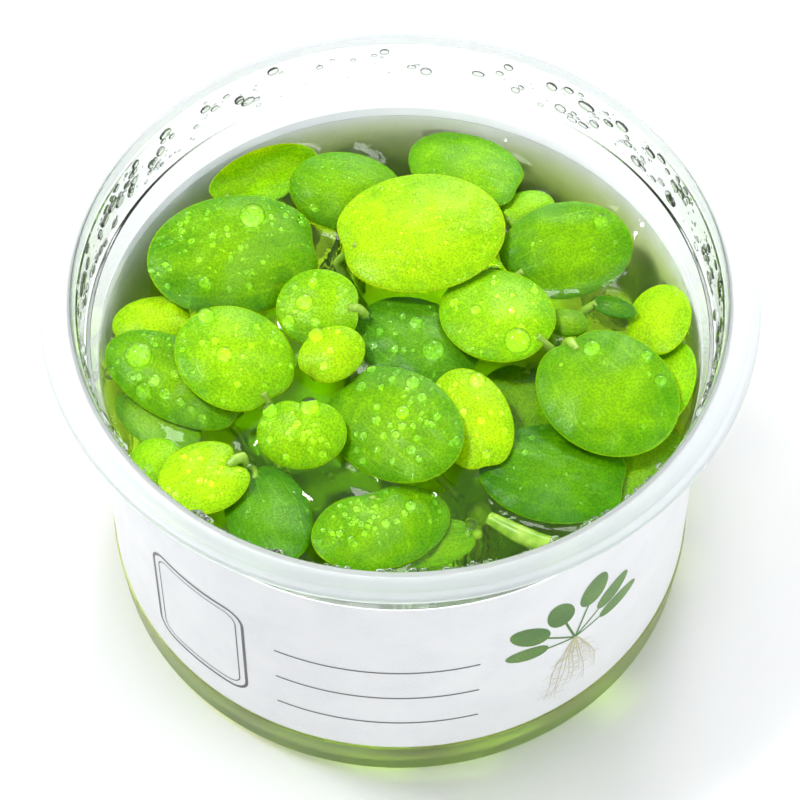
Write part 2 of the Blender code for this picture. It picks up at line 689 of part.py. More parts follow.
def build_water(collection, helpers, seats, routes, pockets):
    """The water, with a whole surface but for the dishes that the leaves lie in."""
    top_radius = water_radius(WATER_LEVEL)
    profile = [
        (0.0, WATER_LEVEL),
        (top_radius - WALL_RISE_WIDTH, WATER_LEVEL),
        (top_radius, WATER_LEVEL + WALL_RISE),
        (water_radius(WATER_CORNER_Z), WATER_CORNER_Z),
        (WATER_FLOOR_RADIUS, FLOOR_Z + GAP),
        (0.0, FLOOR_Z + GAP),
    ]
    finish = material("water", (0.80, 0.92, 0.70), 0.02, transmission=1.0)
    water = turned("water", profile, WATER_STEPS, collection, finish)
    cutters = pockets + leaf_cutters(seats, helpers)
    for name, route in routes.items():
        if route[:, 2].min() < WATER_LEVEL:
            way = prolonged(route, GAP)
            cutters.append(channel("way_of_" + name, way, PETIOLE_CORNER + WAY_GAP, helpers))
    for name, points in RUNNERS.items():
        route = prolonged(evenly(np.array(points) * MM, RUNNER_STEPS), RUNNER_REACHES[name])
        corner = RUNNER_RADII[name] / math.cos(math.pi / 4) + WAY_GAP
        cutters.append(channel("way_of_" + name, route, corner, helpers))
    for cutter in cutters:
        hide_helper(cutter)
        cut = water.modifiers.new(cutter.name, "BOOLEAN")
        cut.operation = "DIFFERENCE"
        cut.object = cutter


def main():
    """Build the cup and everything in it."""
    clear_scene()
    parts = bpy.data.collections.new("frogbit cup")
    helpers = bpy.data.collections.new("cutters")
    bpy.context.scene.collection.children.link(parts)
    bpy.context.scene.collection.children.link(helpers)
    build_cup(parts)
    build_label(parts)
    pockets = build_tufts(parts, helpers)
    tops = np.full((int(round(2 * RIM_RADIUS / MAP_CELL)),) * 2, -1.0)
    seats = {leaf.name: settle(leaf, tops) for leaf in LEAVES}
    routes = petiole_routes(seats)
    build_leaves(parts, helpers, seats, routes)
    build_runners(parts)
    build_water(parts, helpers, seats, routes, pockets)
    for obj in parts.objects:
        if obj.type == "MESH":
            obj.data.shade_smooth()
            obj.data.set_sharp_from_angle(angle=math.radians(35))


if __name__ == "__main__":
    main()
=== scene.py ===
"""The looks of a clear culture cup of floating frogbit. Metres, +Z up, the front of the wrap at -Y.

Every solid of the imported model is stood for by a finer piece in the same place: the moulded cup, its
white wrap, the water with its curved edge, leaves with their stalks, runners and feathery roots. Water
beads, condensation and bubbles are added on them.
"""

import logging
import math
from dataclasses import dataclass, field
from enum import Enum

import bpy
import numpy as np
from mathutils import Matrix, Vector
from mathutils.bvhtree import BVHTree


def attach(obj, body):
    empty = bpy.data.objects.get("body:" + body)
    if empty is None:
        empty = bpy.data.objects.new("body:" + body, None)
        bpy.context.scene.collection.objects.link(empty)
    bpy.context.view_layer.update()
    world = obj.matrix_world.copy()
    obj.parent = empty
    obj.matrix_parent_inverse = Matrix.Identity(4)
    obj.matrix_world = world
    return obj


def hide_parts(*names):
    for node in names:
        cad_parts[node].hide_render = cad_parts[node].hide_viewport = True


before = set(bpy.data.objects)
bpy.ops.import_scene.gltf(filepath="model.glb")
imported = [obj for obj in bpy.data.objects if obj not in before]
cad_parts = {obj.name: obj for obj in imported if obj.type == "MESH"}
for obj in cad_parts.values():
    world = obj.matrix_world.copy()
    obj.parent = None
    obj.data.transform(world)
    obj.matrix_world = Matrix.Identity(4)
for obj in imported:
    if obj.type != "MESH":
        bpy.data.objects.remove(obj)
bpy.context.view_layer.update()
LOG = logging.getLogger("frogbit cup")

Colour = tuple[float, float, float]
MM = 0.001
PER_METRE = 1000.0
PLASTIC_IOR = 1.45
WATER_IOR = 1.333

# Cup, as in the model
CUP_HEIGHT = 67.5 * MM
RIM_RADIUS = 55.0 * MM
MOUTH_RADIUS = 50.2 * MM
RIM_THICKNESS = 0.8 * MM
SKIRT_DEPTH = 1.2 * MM
SKIRT_THICKNESS = 0.7 * MM
LEDGE_Z = 57.8 * MM
LEDGE_STEP = 0.6 * MM
MOUTH_CHAMFER_Z = CUP_HEIGHT - 2.3 * MM
WALL = 0.8 * MM
BASE_RADIUS = 46.9 * MM
FOOT_INNER = 40.5 * MM
BASE_RECESS = 0.8 * MM
FLOOR_Z = 1.8 * MM
FLOOR_RADIUS = 44.2 * MM
FLOOR_CORNER_Z = 3.8 * MM
SHOULDER_RADIUS = 47.8 * MM
LABEL_TOP = 52.3 * MM
LABEL_BOTTOM = 8.8 * MM
LABEL_BOTTOM_RADIUS = 47.3 * MM
LABEL_THICKNESS = 0.2 * MM
LABEL_MARGIN = 0.35 * MM
INSIDE_HEIGHTS = (FLOOR_CORNER_Z, LABEL_TOP, LEDGE_Z - LEDGE_STEP, LEDGE_Z, MOUTH_CHAMFER_Z)
INSIDE_RADII = (45.7 * MM, 46.9 * MM, 47.9 * MM, 48.7 * MM, 49.3 * MM)
CUP_STEPS = 40

# How finely round forms are turned, and what counts as their axis
CUP_SIDES = 192
ON_AXIS = 1e-7
LARGEST_CUT = 0.3
SUPPORT_AT = 1.5

# Water and leaves, as in the model
WATER_LEVEL = 50.0 * MM
GAP = 0.35 * MM
LEAF_LEVEL = 50.6 * MM
LEAF_THICKNESS = 1.1 * MM
EDGE_THICKNESS_SHARE = 0.42
TIP_SHARE = 0.03
NOTCH_SPREAD = 0.34
DOME_LEVEL = 0.45
CURL_START = 0.25
LEAF_GAP = 0.4 * MM
MAP_CELL = 0.5 * MM
SLOPES = (-0.24, -0.16, -0.08, 0.0, 0.08, 0.16, 0.24)
SLOPE_PRICE = 6.0 * MM
PETIOLE_RADIUS = 0.75 * MM
PETIOLE_STEPS = 4
SHORTEST_PETIOLE = 3.0 * MM
CROWN_Z = 40.5 * MM
CROWN_RADIUS = 2.2 * MM
ROOT_TOP_Z = CROWN_Z - 3.0 * MM
TUFT_RADIUS = 5.0 * MM
TUFT_TIP_Z = 4.0 * MM

# How rare the larger ones are among scattered beads
FEW_LARGE = 2.6

# The photograph's eye point and lens, in its own pixels
EYE = np.array([0.0, -311.0, 500.5]) * MM
PITCH = math.radians(56.13)
FOCAL_PX = 3500.0
FRAME_PX = 800.0
SENSOR_MM = 36.0


class Tone(Enum):
    """The kinds of green in the cup."""

    LIME = "lime"
    BRIGHT = "bright"
    MID = "mid"
    DEEP = "deep"
    BLUISH = "bluish"
    SUNK = "sunk"


LEAF_SLOTS = {
    Tone.LIME: "leaf_bright", Tone.BRIGHT: "leaf_bright", Tone.MID: "leaf_mid",
    Tone.DEEP: "leaf_dark", Tone.BLUISH: "leaf_dark", Tone.SUNK: "leaf_dark",
}


class Wetness(Enum):
    """How a leaf is beaded: beads per square metre, smallest radius and largest radius in metres."""

    DRY = (0.0, 0.0, 0.0)
    FEW = (1.6e5, 0.12 * MM, 0.46 * MM)
    SOME = (4.0e5, 0.15 * MM, 0.62 * MM)
    FINE = (1.2e6, 0.12 * MM, 0.40 * MM)
    MANY = (9.0e5, 0.15 * MM, 0.74 * MM)


@dataclass(frozen=True)
class Leaf:
    """One leaf: its middle, length and width in mm as sighted at LEAF_LEVEL, and how it sits and looks.

    heading is the way from its base to its tip, in degrees from +X. dome lifts its middle, as a share
    of its width. rise is its own slope towards rise_to. curl rolls its base upwards, and arch lifts its
    stalk above the notch before it goes down, both in mm.
    """

    name: str
    plant: str
    x: float
    y: float
    length: float
    width: float
    heading: float
    tone: Tone
    wet: Wetness = Wetness.SOME
    sink: float = 0.0
    dome: float = 0.07
    notch: float = 0.10
    rise: float = 0.0
    rise_to: float = 0.0
    curl: float = 0.0
    arch: float = 0.0


# Where each plant's crown stands, in mm
PLANTS = {
    "centre": (-4.0, 11.0),
    "right": (27.0, 3.0),
    "left": (-32.0, 6.0),
    "front_left": (-20.5, -19.0),
    "front_right": (12.0, -25.0),
    "back": (-8.0, 31.0),
}

# Short names for the table below
LIME, BRIGHT, MID, DEEP, BLUISH, SUNK = Tone
DRY, FEW, SOME, FINE, MANY = Wetness

# From the lowest leaf to the topmost one, as in the model
LEAVES = (
    Leaf("leaf_sunk_front", "front_right", 4.5, -35.5, 15.5, 8.5, 193, SUNK, DRY, sink=3.4, dome=0.03),
    Leaf("leaf_sunk_middle", "right", 18.5, -10.2, 15.0, 14.0, 258, SUNK, DRY, sink=4.2, dome=0.04),
    Leaf("leaf_sunk_right", "right", 37.0, -21.0, 18.5, 8.5, 234, SUNK, DRY, sink=2.6, dome=0.03),
    Leaf("leaf_sunk_left", "left", -37.6, -12.6, 16.5, 10.0, 318, SUNK, DRY, sink=2.4, dome=0.05),
    Leaf("leaf_arched_back", "back", -22.4, 34.2, 19.6, 11.0, 31, BRIGHT, DRY, sink=0.6, dome=-0.2,
         rise=0.5, rise_to=125),
    Leaf("leaf_wall_right", "right", 42.4, -6.2, 16.0, 7.6, 74, BRIGHT, FEW, dome=0.05,
         rise=0.45, rise_to=0),
    Leaf("leaf_pale_left", "left", -38.6, 5.8, 13.0, 9.6, 191, LIME, DRY, dome=0.08),
    Leaf("leaf_small_back", "right", 20.4, 27.7, 9.3, 7.4, 27, BRIGHT, DRY, dome=0.07),
    Leaf("leaf_round_back", "back", 11.0, 35.6, 19.8, 14.4, 156, MID, FINE, dome=0.09),
    Leaf("leaf_dark_back", "back", -8.1, 31.1, 19.8, 15.8, 155, MID, FINE, dome=0.10),
    Leaf("leaf_tiny_front", "front_left", -21.4, -36.3, 4.8, 3.2, 200, BRIGHT, DRY, sink=0.6, dome=0.06),
    Leaf("leaf_edge_left", "front_left", -37.4, -20.6, 8.6, 8.2, 120, BRIGHT, FEW, dome=0.07),
    Leaf("leaf_dark_front", "front_left", -20.0, -29.7, 18.2, 13.0, 289, DEEP, FEW, sink=0.8, dome=0.06),
    Leaf("leaf_kidney_front", "front_right", -2.9, -32.0, 14.8, 21.6, 287, MID, MANY, sink=0.4,
         dome=0.07, notch=0.16),
    Leaf("leaf_dark_right", "front_right", 23.9, -22.7, 23.5, 17.8, 169, DEEP, FEW, sink=0.4, dome=0.06),
    Leaf("leaf_upright_right", "right", 41.2, 6.0, 14.2, 9.8, 71, LIME, FEW, dome=0.06,
         rise=0.40, rise_to=25),
    Leaf("leaf_olive_right", "right", 26.2, 5.6, 7.0, 5.2, 350, SUNK, DRY, sink=0.6, dome=0.05),
    Leaf("leaf_young_right", "right", 33.6, 8.6, 7.4, 3.8, 340, DEEP, DRY, dome=-0.10,
         rise=0.2, rise_to=90),
    Leaf("leaf_round_right", "right", 26.3, 19.3, 21.9, 19.3, 29, MID, FEW, dome=0.08),
    Leaf("leaf_blue_middle", "centre", 3.1, 1.5, 21.4, 16.1, 146, BLUISH, SOME, dome=0.07),
    Leaf("leaf_long_left", "left", -34.3, -5.5, 26.0, 14.4, 145, MID, MANY, dome=0.09),
    Leaf("leaf_big_left", "left", -25.8, 18.8, 28.0, 23.7, 190, MID, MANY, dome=0.07),
    Leaf("leaf_bright_right", "right", 15.6, 6.8, 18.8, 17.4, 146, BRIGHT, SOME, dome=0.08, notch=0.04),
    Leaf("leaf_pale_middle", "front_right", 11.1, -13.0, 19.5, 12.6, 104, LIME, SOME, dome=0.08),
    Leaf("leaf_big_right", "right", 32.0, -7.3, 24.6, 21.3, 300, MID, FEW, dome=0.07),
    Leaf("leaf_big_middle", "front_right", -1.1, -13.3, 23.1, 19.6, 313, MID, MANY, dome=0.08),
    Leaf("leaf_notched_left", "front_left", -29.6, -23.2, 14.5, 12.9, 211, LIME, SOME, dome=0.05,
         notch=0.30, arch=9.0),
    Leaf("leaf_big_back", "centre", 2.7, 23.1, 27.7, 23.3, 14, LIME, FINE, dome=0.08),
    Leaf("leaf_rolled", "centre", -12.6, 8.4, 13.5, 15.1, 180, BRIGHT, SOME, dome=0.04, curl=3.2),
    Leaf("leaf_bright_left", "front_left", -25.6, -1.5, 21.2, 17.6, 125, BRIGHT, SOME, dome=0.07),
    Leaf("leaf_small_middle", "centre", -10.8, -0.6, 11.6, 9.6, 50, LIME, SOME, dome=0.06),
    Leaf("leaf_round_middle", "front_left", -15.1, -15.0, 13.2, 13.9, 265, BRIGHT, MANY, dome=0.07,
         notch=0.20),
)
RUNNERS = {
    "runner_front": ((13.5, -29.5, 48.6), (19.0, -33.2, 49.0), (24.5, -35.2, 48.6), (30.0, -33.5, 47.2)),
    "runner_back": ((-5.5, 15.0, 37.0), (-7.5, 20.0, 35.5), (-8.0, 26.5, 37.0)),
    "runner_left": ((-29.5, 1.5, 37.0), (-26.0, -6.5, 35.5), (-23.5, -14.5, 37.0)),
}
RUNNER_RADII = {"runner_front": 1.5 * MM, "runner_back": 0.8 * MM, "runner_left": 0.8 * MM}

# The large beads that the photograph shows: leaf, then middle and width of each in its pixels
LARGE_BEADS = {
    "leaf_big_left": ((252, 219, 27), (204, 283, 14), (249, 286, 9), (199, 260, 8), (212, 236, 8),
                      (228, 235, 7), (241, 248, 8), (229, 289, 7)),
    "leaf_dark_back": ((313, 207, 9),),
    "leaf_rolled": ((305, 303, 18), (313, 283, 11), (289, 322, 15), (315, 322, 10)),
    "leaf_small_middle": ((317, 337, 17), (338, 332, 7), (324, 366, 10), (330, 351, 8)),
    "leaf_bright_left": ((206, 318, 18), (224, 356, 17), (257, 327, 8), (251, 345, 8), (215, 341, 9),
                         (237, 384, 8)),
    "leaf_long_left": ((139, 357, 28), (144, 391, 18), (155, 381, 15), (112, 373, 14), (117, 386, 12),
                       (165, 394, 13), (138, 377, 10), (180, 402, 10), (202, 418, 10), (174, 374, 10)),
    "leaf_blue_middle": ((433, 352, 24), (416, 324, 15), (456, 320, 10), (380, 332, 10), (374, 346, 10),
                         (395, 350, 10), (403, 317, 9)),
    "leaf_big_middle": ((403, 414, 16), (413, 384, 16), (396, 366, 15), (422, 398, 11), (372, 370, 11),
                        (392, 380, 9), (362, 387, 12), (402, 427, 10), (377, 421, 11), (437, 417, 10),
                        (377, 408, 9), (364, 436, 9), (384, 436, 9), (358, 450, 9), (378, 450, 9),
                        (411, 450, 12), (363, 461, 8), (393, 461, 8), (456, 441, 11)),
    "leaf_round_middle": ((310, 409, 21), (271, 412, 17), (264, 423, 8), (270, 440, 9), (290, 438, 7),
                          (303, 439, 7), (321, 440, 8), (286, 457, 10), (310, 449, 7), (323, 454, 10)),
    "leaf_pale_middle": ((477, 382, 18), (463, 413, 10), (481, 421, 10), (486, 455, 10)),
    "leaf_bright_right": ((517, 343, 28), (512, 311, 10), (534, 291, 10), (521, 327, 8), (497, 321, 7),
                          (455, 303, 10), (476, 311, 12)),
    "leaf_round_right": ((600, 223, 17), (615, 243, 7), (608, 257, 7), (593, 250, 8), (580, 216, 6)),
    "leaf_big_right": ((592, 350, 19), (646, 356, 12), (660, 382, 14), (648, 374, 7)),
    "leaf_kidney_front": ((410, 507, 13), (404, 514, 9), (386, 524, 11), (345, 515, 7), (430, 521, 6)),
    "leaf_notched_left": ((211, 497, 7), (200, 481, 8), (211, 484, 9), (201, 459, 8)),
    "leaf_dark_right": ((532, 438, 8), (542, 428, 7), (561, 424, 6), (525, 453, 8)),
}
# Air bubbles on the water, in the same pixels
BUBBLES = ((507, 214, 8), (329, 474, 8), (170, 310, 14), (471, 524, 13), (445, 486, 5), (452, 487, 4),
           (518, 297, 5), (283, 493, 5), (333, 478, 5), (272, 454, 5))


class Nodes:
    """A short way to write a node tree: most calls add a node and give back a socket that it puts out."""

    def __init__(self, tree: bpy.types.NodeTree) -> None:
        """Work on this tree."""
        self.tree = tree

    def feed(self, socket: bpy.types.NodeSocket, value: object) -> None:
        """Link a socket into another, or set its value.

        Args:
            socket: the input to feed.
            value: an output socket, or a plain value.
        """
        if isinstance(value, bpy.types.NodeSocket):
            self.tree.links.new(value, socket)
        else:
            socket.default_value = value

    def node(self, kind: str, inputs: dict | None = None, **settings: object) -> bpy.types.Node:
        """Add one node.

        Args:
            kind: the node's type.
            inputs: what goes in, by socket name or number.
            settings: the node's own options.
        Returns:
            The node.
        """
        node = self.tree.nodes.new(kind)
        for option, value in settings.items():
            setattr(node, option, value)
        for key, value in (inputs or {}).items():
            self.feed(node.inputs[key], value)
        return node

    def add(self, kind: str, inputs: dict | None = None, out: int | str = 0, **settings: object):
        """Add one node and give back the output socket that out names."""
        return self.node(kind, inputs, **settings).outputs[out]

    def math(self, operation: str, a: object, b: object = 0.0, clamp: bool = False):
        """One sum on two numbers."""
        return self.add("ShaderNodeMath", {0: a, 1: b}, operation=operation, use_clamp=clamp)

    def blend(self, factor: object, a: object, b: object, kind: str = "MIX"):
        """Mix two colours.

        Args:
            factor: how much of b.
            a: the first colour.
            b: the second colour.
            kind: how they mix.
        Returns:
            The colour socket.
        """
        tint = [(*c, 1.0) if isinstance(c, tuple) and len(c) == 3 else c for c in (a, b)]
        return self.add("ShaderNodeMix", {0: factor, 6: tint[0], 7: tint[1]}, 2,
                        data_type="RGBA", blend_type=kind)

    def spread(self, value: object, low: float, high: float, to_low: float = 0.0, to_high: float = 1.0):
        """Stretch a value from one range to another, held at its ends."""
        inputs = {0: value, 1: low, 2: high, 3: to_low, 4: to_high}
        return self.add("ShaderNodeMapRange", inputs, clamp=True)


def group(name: str, inputs: dict[str, str], outputs: dict[str, str], kind: str = "ShaderNodeTree"):
    """Start a node group with named sockets.

    Args:
        name: the group's name.
        inputs: socket types by name.
        outputs: socket types by name.
        kind: the kind of tree.
    Returns:
        The tree, its input node and its output node.
    """
    tree = bpy.data.node_groups.new(name, kind)
    for label, socket in inputs.items():
        tree.interface.new_socket(label, in_out="INPUT", socket_type=socket)
    for label, socket in outputs.items():
        tree.interface.new_socket(label, in_out="OUTPUT", socket_type=socket)
    return tree, tree.nodes.new("NodeGroupInput"), tree.nodes.new("NodeGroupOutput")


def surface_group() -> bpy.types.NodeTree:
    """The group that varies a surface: wide blotches, fine cells and a height, over coordinates in mm."""
    number = "NodeSocketFloat"
    tree, given, result = group(
        "surface variation",
        {"Vector": "NodeSocketVector", "Blotch size": number, "Grain size": number, "Stretch": number},
        {"Blotch": number, "Grain": number, "Height": number},
    )
    nodes = Nodes(tree)
    where = given.outputs["Vector"]
    wide = nodes.add("ShaderNodeTexNoise", {
        "Vector": where,
        "Scale": nodes.math("DIVIDE", 1.0, given.outputs["Blotch size"]),
        "Detail": 3.0,
        "Roughness": 0.55,
        "Distortion": given.outputs["Stretch"],
    })
    cells = nodes.math("DIVIDE", 1.0, given.outputs["Grain size"])
    fine = nodes.add("ShaderNodeTexVoronoi", {"Vector": where, "Scale": cells})
    soft = nodes.add("ShaderNodeTexNoise", {"Vector": where, "Scale": cells, "Detail": 2.0})
    nodes.feed(result.inputs["Blotch"], nodes.spread(wide, 0.32, 0.68))
    grain = nodes.spread(nodes.math("MULTIPLY", fine, nodes.math("ADD", soft, 0.5)), 0.1, 0.7)
    nodes.feed(result.inputs["Grain"], grain)
    nodes.feed(result.inputs["Height"], nodes.math("ADD", nodes.math("MULTIPLY", fine, 0.6), soft))
    return tree


def vein_group() -> bpy.types.NodeTree:
    """The group that draws a leaf's arching veins from its own map, 1 on a vein and 0 between them."""
    number = "NodeSocketFloat"
    tree, given, result = group(
        "leaf veins", {"Map": "NodeSocketVector", "Wobble": number}, {"Vein": number, "Along": number}
    )
    nodes = Nodes(tree)
    parts = nodes.node("ShaderNodeSeparateXYZ", {0: given.outputs["Map"]})
    along = nodes.spread(parts.outputs[0], 0.0, 1.0, -1.0, 1.0)
    aside = nodes.spread(parts.outputs[1], 0.0, 1.0, -1.0, 1.0)
    noise = nodes.add("ShaderNodeTexNoise", {"Vector": given.outputs["Map"], "Scale": 5.0, "Detail": 1.0})
    shake = nodes.math("MULTIPLY", nodes.math("SUBTRACT", noise, 0.5), given.outputs["Wobble"])
    reach = nodes.math("SUBTRACT", 1.06, nodes.math("MULTIPLY", along, along))
    family = nodes.math("DIVIDE", nodes.math("ADD", aside, shake),
                        nodes.math("SQRT", nodes.math("MAXIMUM", reach, 0.02)))
    nearest = nodes.math("PINGPONG", nodes.math("MULTIPLY", family, 3.0), 0.5)
    nodes.feed(result.inputs["Vein"], nodes.spread(nearest, 0.0, 0.13, 1.0, 0.0))
    nodes.feed(result.inputs["Along"], along)
    return tree


@dataclass(frozen=True)
class Finish:
    """What every finish shares: a material, its shader and its variation.

    Each kind adds sizes: its blotches and its grain in mm, then how far they are drawn out of shape.
    """

    name: str

    def start(self) -> tuple[bpy.types.Material, Nodes, bpy.types.Node]:
        """Make the material.

        Returns:
            The material, its nodes and its Principled shader.
        """
        made = bpy.data.materials.new(self.name)
        made.use_nodes = True
        shader = made.node_tree.nodes["Principled BSDF"]
        shader.inputs["Metallic"].default_value = 0.0
        return made, Nodes(made.node_tree), shader

    def varied(self, nodes: Nodes, variation: bpy.types.NodeTree, along: float = PER_METRE) -> tuple:
        """Place the surface variation group over Object coordinates in mm.

        Args:
            nodes: the material's nodes.
            variation: the surface variation group.
            along: steps to a metre up Z, fewer on what is drawn out upwards.
        Returns:
            The group's node and the coordinates.
        """
        where = nodes.add("ShaderNodeTexCoord", out="Object")
        where = nodes.add("ShaderNodeMapping", {"Vector": where, "Scale": (PER_METRE, PER_METRE, along)})
        inputs = dict(zip(("Vector", "Blotch size", "Grain size", "Stretch"), (where, *self.sizes)))
        return nodes.node("ShaderNodeGroup", inputs, node_tree=variation), where

    def lamp_through(self, made: bpy.types.Material, nodes: Nodes, shader: bpy.types.Node, tint: Colour,
                     share: float = 1.0) -> None:
        """Let light from the lamps reach what is behind a clear or thin surface.

        Args:
            made: the material.
            nodes: its nodes.
            shader: its Principled shader.
            tint: the colour of the light that passes.
            share: how much of it passes.
        """
        path = nodes.math("MULTIPLY", nodes.add("ShaderNodeLightPath", out="Is Shadow Ray"), share)
        clear = nodes.add("ShaderNodeBsdfTransparent", {"Color": (*tint, 1.0)})
        both = nodes.add("ShaderNodeMixShader", {0: path, 1: shader.outputs[0], 2: clear})
        nodes.feed(made.node_tree.nodes["Material Output"].inputs["Surface"], both)


@dataclass(frozen=True)
class LeafFinish(Finish):
    """A leaf's green: three colours from dark to light, its painted sheen patches and how dark its margin is.
    """

    deep: Colour
    plain: Colour
    glow: Colour
    # Painted sheen: how strongly pale bluish patches stand in for the gloss on the leaf.
    painted_sheen: float
    margin: float
    roughness: float = 0.36
    # The colour of the painted sheen patches.
    painted_sheen_tint: Colour = (0.13, 0.33, 0.08)
    under_tint: Colour = (0.30, 0.50, 0.06)
    sizes: tuple = (6.5, 0.34, 0.9)

    def make(self, variation: bpy.types.NodeTree, veins: bpy.types.NodeTree) -> bpy.types.Material:
        """Make the material.

        Args:
            variation: the surface variation group.
            veins: the leaf vein group.
        Returns:
            The material.
        """
        made, nodes, shader = self.start()
        vary, where = self.varied(nodes, variation)
        chart = nodes.add("ShaderNodeUVMap", uv_map="leaf")
        rib = nodes.node("ShaderNodeGroup", {"Map": chart, "Wobble": 0.10}, node_tree=veins)
        across = nodes.add("ShaderNodeAttribute", out="Fac", attribute_name="across")
        under = nodes.add("ShaderNodeAttribute", out="Fac", attribute_name="under")
        shade = nodes.blend(vary.outputs["Blotch"], self.deep, self.plain)
        middle = nodes.spread(across, 0.15, 0.85, 0.45, 0.0)
        shade = nodes.blend(middle, shade, self.glow)
        shade = nodes.blend(nodes.math("MULTIPLY", rib.outputs["Vein"], 0.22), shade, self.glow)
        rim = nodes.spread(across, 0.72, 0.99)
        shade = nodes.blend(nodes.math("MULTIPLY", rim, self.margin), shade, self.deep)
        # Painted highlight: the blade's very edge is lightened towards its lightest green.
        edge_highlight = nodes.spread(across, 0.975, 0.995)
        shade = nodes.blend(nodes.math("MULTIPLY", edge_highlight, 0.55), shade, self.glow)
        speck = nodes.spread(vary.outputs["Grain"], 0.0, 1.0, 0.70, 1.16)
        shade = nodes.blend(1.0, shade, nodes.add("ShaderNodeCombineColor", {0: speck, 1: speck, 2: speck}),
                            kind="MULTIPLY")
        # Painted sheen: pale bluish patches blended in where the leaf's gloss would catch the light.
        cloud = nodes.add("ShaderNodeTexNoise", {"Vector": where, "Scale": 0.09, "Detail": 1.5})
        sheen_mask = nodes.math("MULTIPLY", nodes.spread(cloud, 0.56, 0.66), self.painted_sheen)
        shade = nodes.blend(sheen_mask, shade, self.painted_sheen_tint)
        shade = nodes.blend(nodes.math("MULTIPLY", under, 0.6), shade, self.under_tint)
        nodes.feed(shader.inputs["Base Color"], shade)
        gloss = nodes.spread(vary.outputs["Grain"], 0.0, 1.0, self.roughness + 0.10, self.roughness - 0.06)
        nodes.feed(shader.inputs["Roughness"], gloss)
        shader.inputs["Specular IOR Level"].default_value = 0.14
        shader.inputs["Subsurface Weight"].default_value = 0.35
        shader.inputs["Subsurface Radius"].default_value = (0.8, 1.0, 0.10)
        shader.inputs["Subsurface Scale"].default_value = 1.4 * MM
        ribbed = nodes.math("SUBTRACT", nodes.math("MULTIPLY", vary.outputs["Height"], 0.5),
                            nodes.math("MULTIPLY", rib.outputs["Vein"], 0.5))
        bump = nodes.add("ShaderNodeBump", {"Strength": 0.45, "Distance": 0.10 * MM, "Height": ribbed})
        nodes.feed(shader.inputs["Normal"], bump)
        return made


@dataclass(frozen=True)
class StalkFinish(Finish):
    """A stalk, runner, crown or root: two shades in blotches that are drawn out upwards."""

    dark: Colour
    light: Colour
    sizes: tuple = (2.5, 0.3, 0.4)
    along: float = 350.0

    def make(self, variation: bpy.types.NodeTree) -> bpy.types.Material:
        """Make the material from the surface variation group."""
        made, nodes, shader = self.start()
        vary, _ = self.varied(nodes, variation, self.along)
        nodes.feed(shader.inputs["Base Color"], nodes.blend(vary.outputs["Blotch"], self.dark, self.light))
        nodes.feed(shader.inputs["Roughness"], nodes.spread(vary.outputs["Grain"], 0.0, 1.0, 0.42, 0.28))
        shader.inputs["Subsurface Weight"].default_value = 0.3
        shader.inputs["Subsurface Radius"].default_value = (0.8, 1.0, 0.2)
        shader.inputs["Subsurface Scale"].default_value = 1.2 * MM
        bump = nodes.add("ShaderNodeBump", {
            "Strength": 0.25, "Distance": 0.06 * MM, "Height": vary.outputs["Height"]})
        nodes.feed(shader.inputs["Normal"], bump)
        return made


@dataclass(frozen=True)
class ClearFinish(Finish):
    """A clear surface: plastic or water, with how far it bends light, its tint and its haze.

    frost makes it duller from frost_from upwards, over frost_fade, both in mm. ripple is how uneven it
    is. takes_in is the colour that is left after a long way through it, and thick how soon.
    """

    tint: Colour
    ior: float
    roughness: float
    frost: float = 0.0
    frost_from: float = 0.0
    frost_fade: float = 0.6
    ripple: float = 0.0
    sizes: tuple = (6.0, 0.5, 0.6)
    takes_in: Colour | None = None
    thick: float = 0.0
    see_through: float = 1.0

    def make(self, variation: bpy.types.NodeTree) -> bpy.types.Material:
        """Make the material from the surface variation group."""
        made, nodes, shader = self.start()
        vary, where = self.varied(nodes, variation)
        darker = tuple(0.97 * part for part in self.tint)
        nodes.feed(shader.inputs["Base Color"], nodes.blend(vary.outputs["Blotch"], self.tint, darker))
        rough = nodes.spread(vary.outputs["Blotch"], 0.0, 1.0, self.roughness, self.roughness * 1.3)
        if self.frost > 0.0:
            parts = nodes.node("ShaderNodeSeparateXYZ", {0: where})
            high = nodes.spread(parts.outputs[2], self.frost_from, self.frost_from + self.frost_fade)
            rough = nodes.math("ADD", rough, nodes.math("MULTIPLY", high, self.frost))
        nodes.feed(shader.inputs["Roughness"], rough)
        shader.inputs["IOR"].default_value = self.ior
        shader.inputs["Transmission Weight"].default_value = self.see_through
        if self.ripple > 0.0:
            bump = nodes.add("ShaderNodeBump", {
                "Strength": self.ripple, "Distance": 0.3 * MM, "Height": vary.outputs["Blotch"]})
            nodes.feed(shader.inputs["Normal"], bump)
        self.lamp_through(made, nodes, shader, self.tint)
        if self.takes_in:
            depth = nodes.add("ShaderNodeVolumeAbsorption", {
                "Color": (*self.takes_in, 1.0), "Density": self.thick})
            nodes.feed(made.node_tree.nodes["Material Output"].inputs["Volume"], depth)
        return made


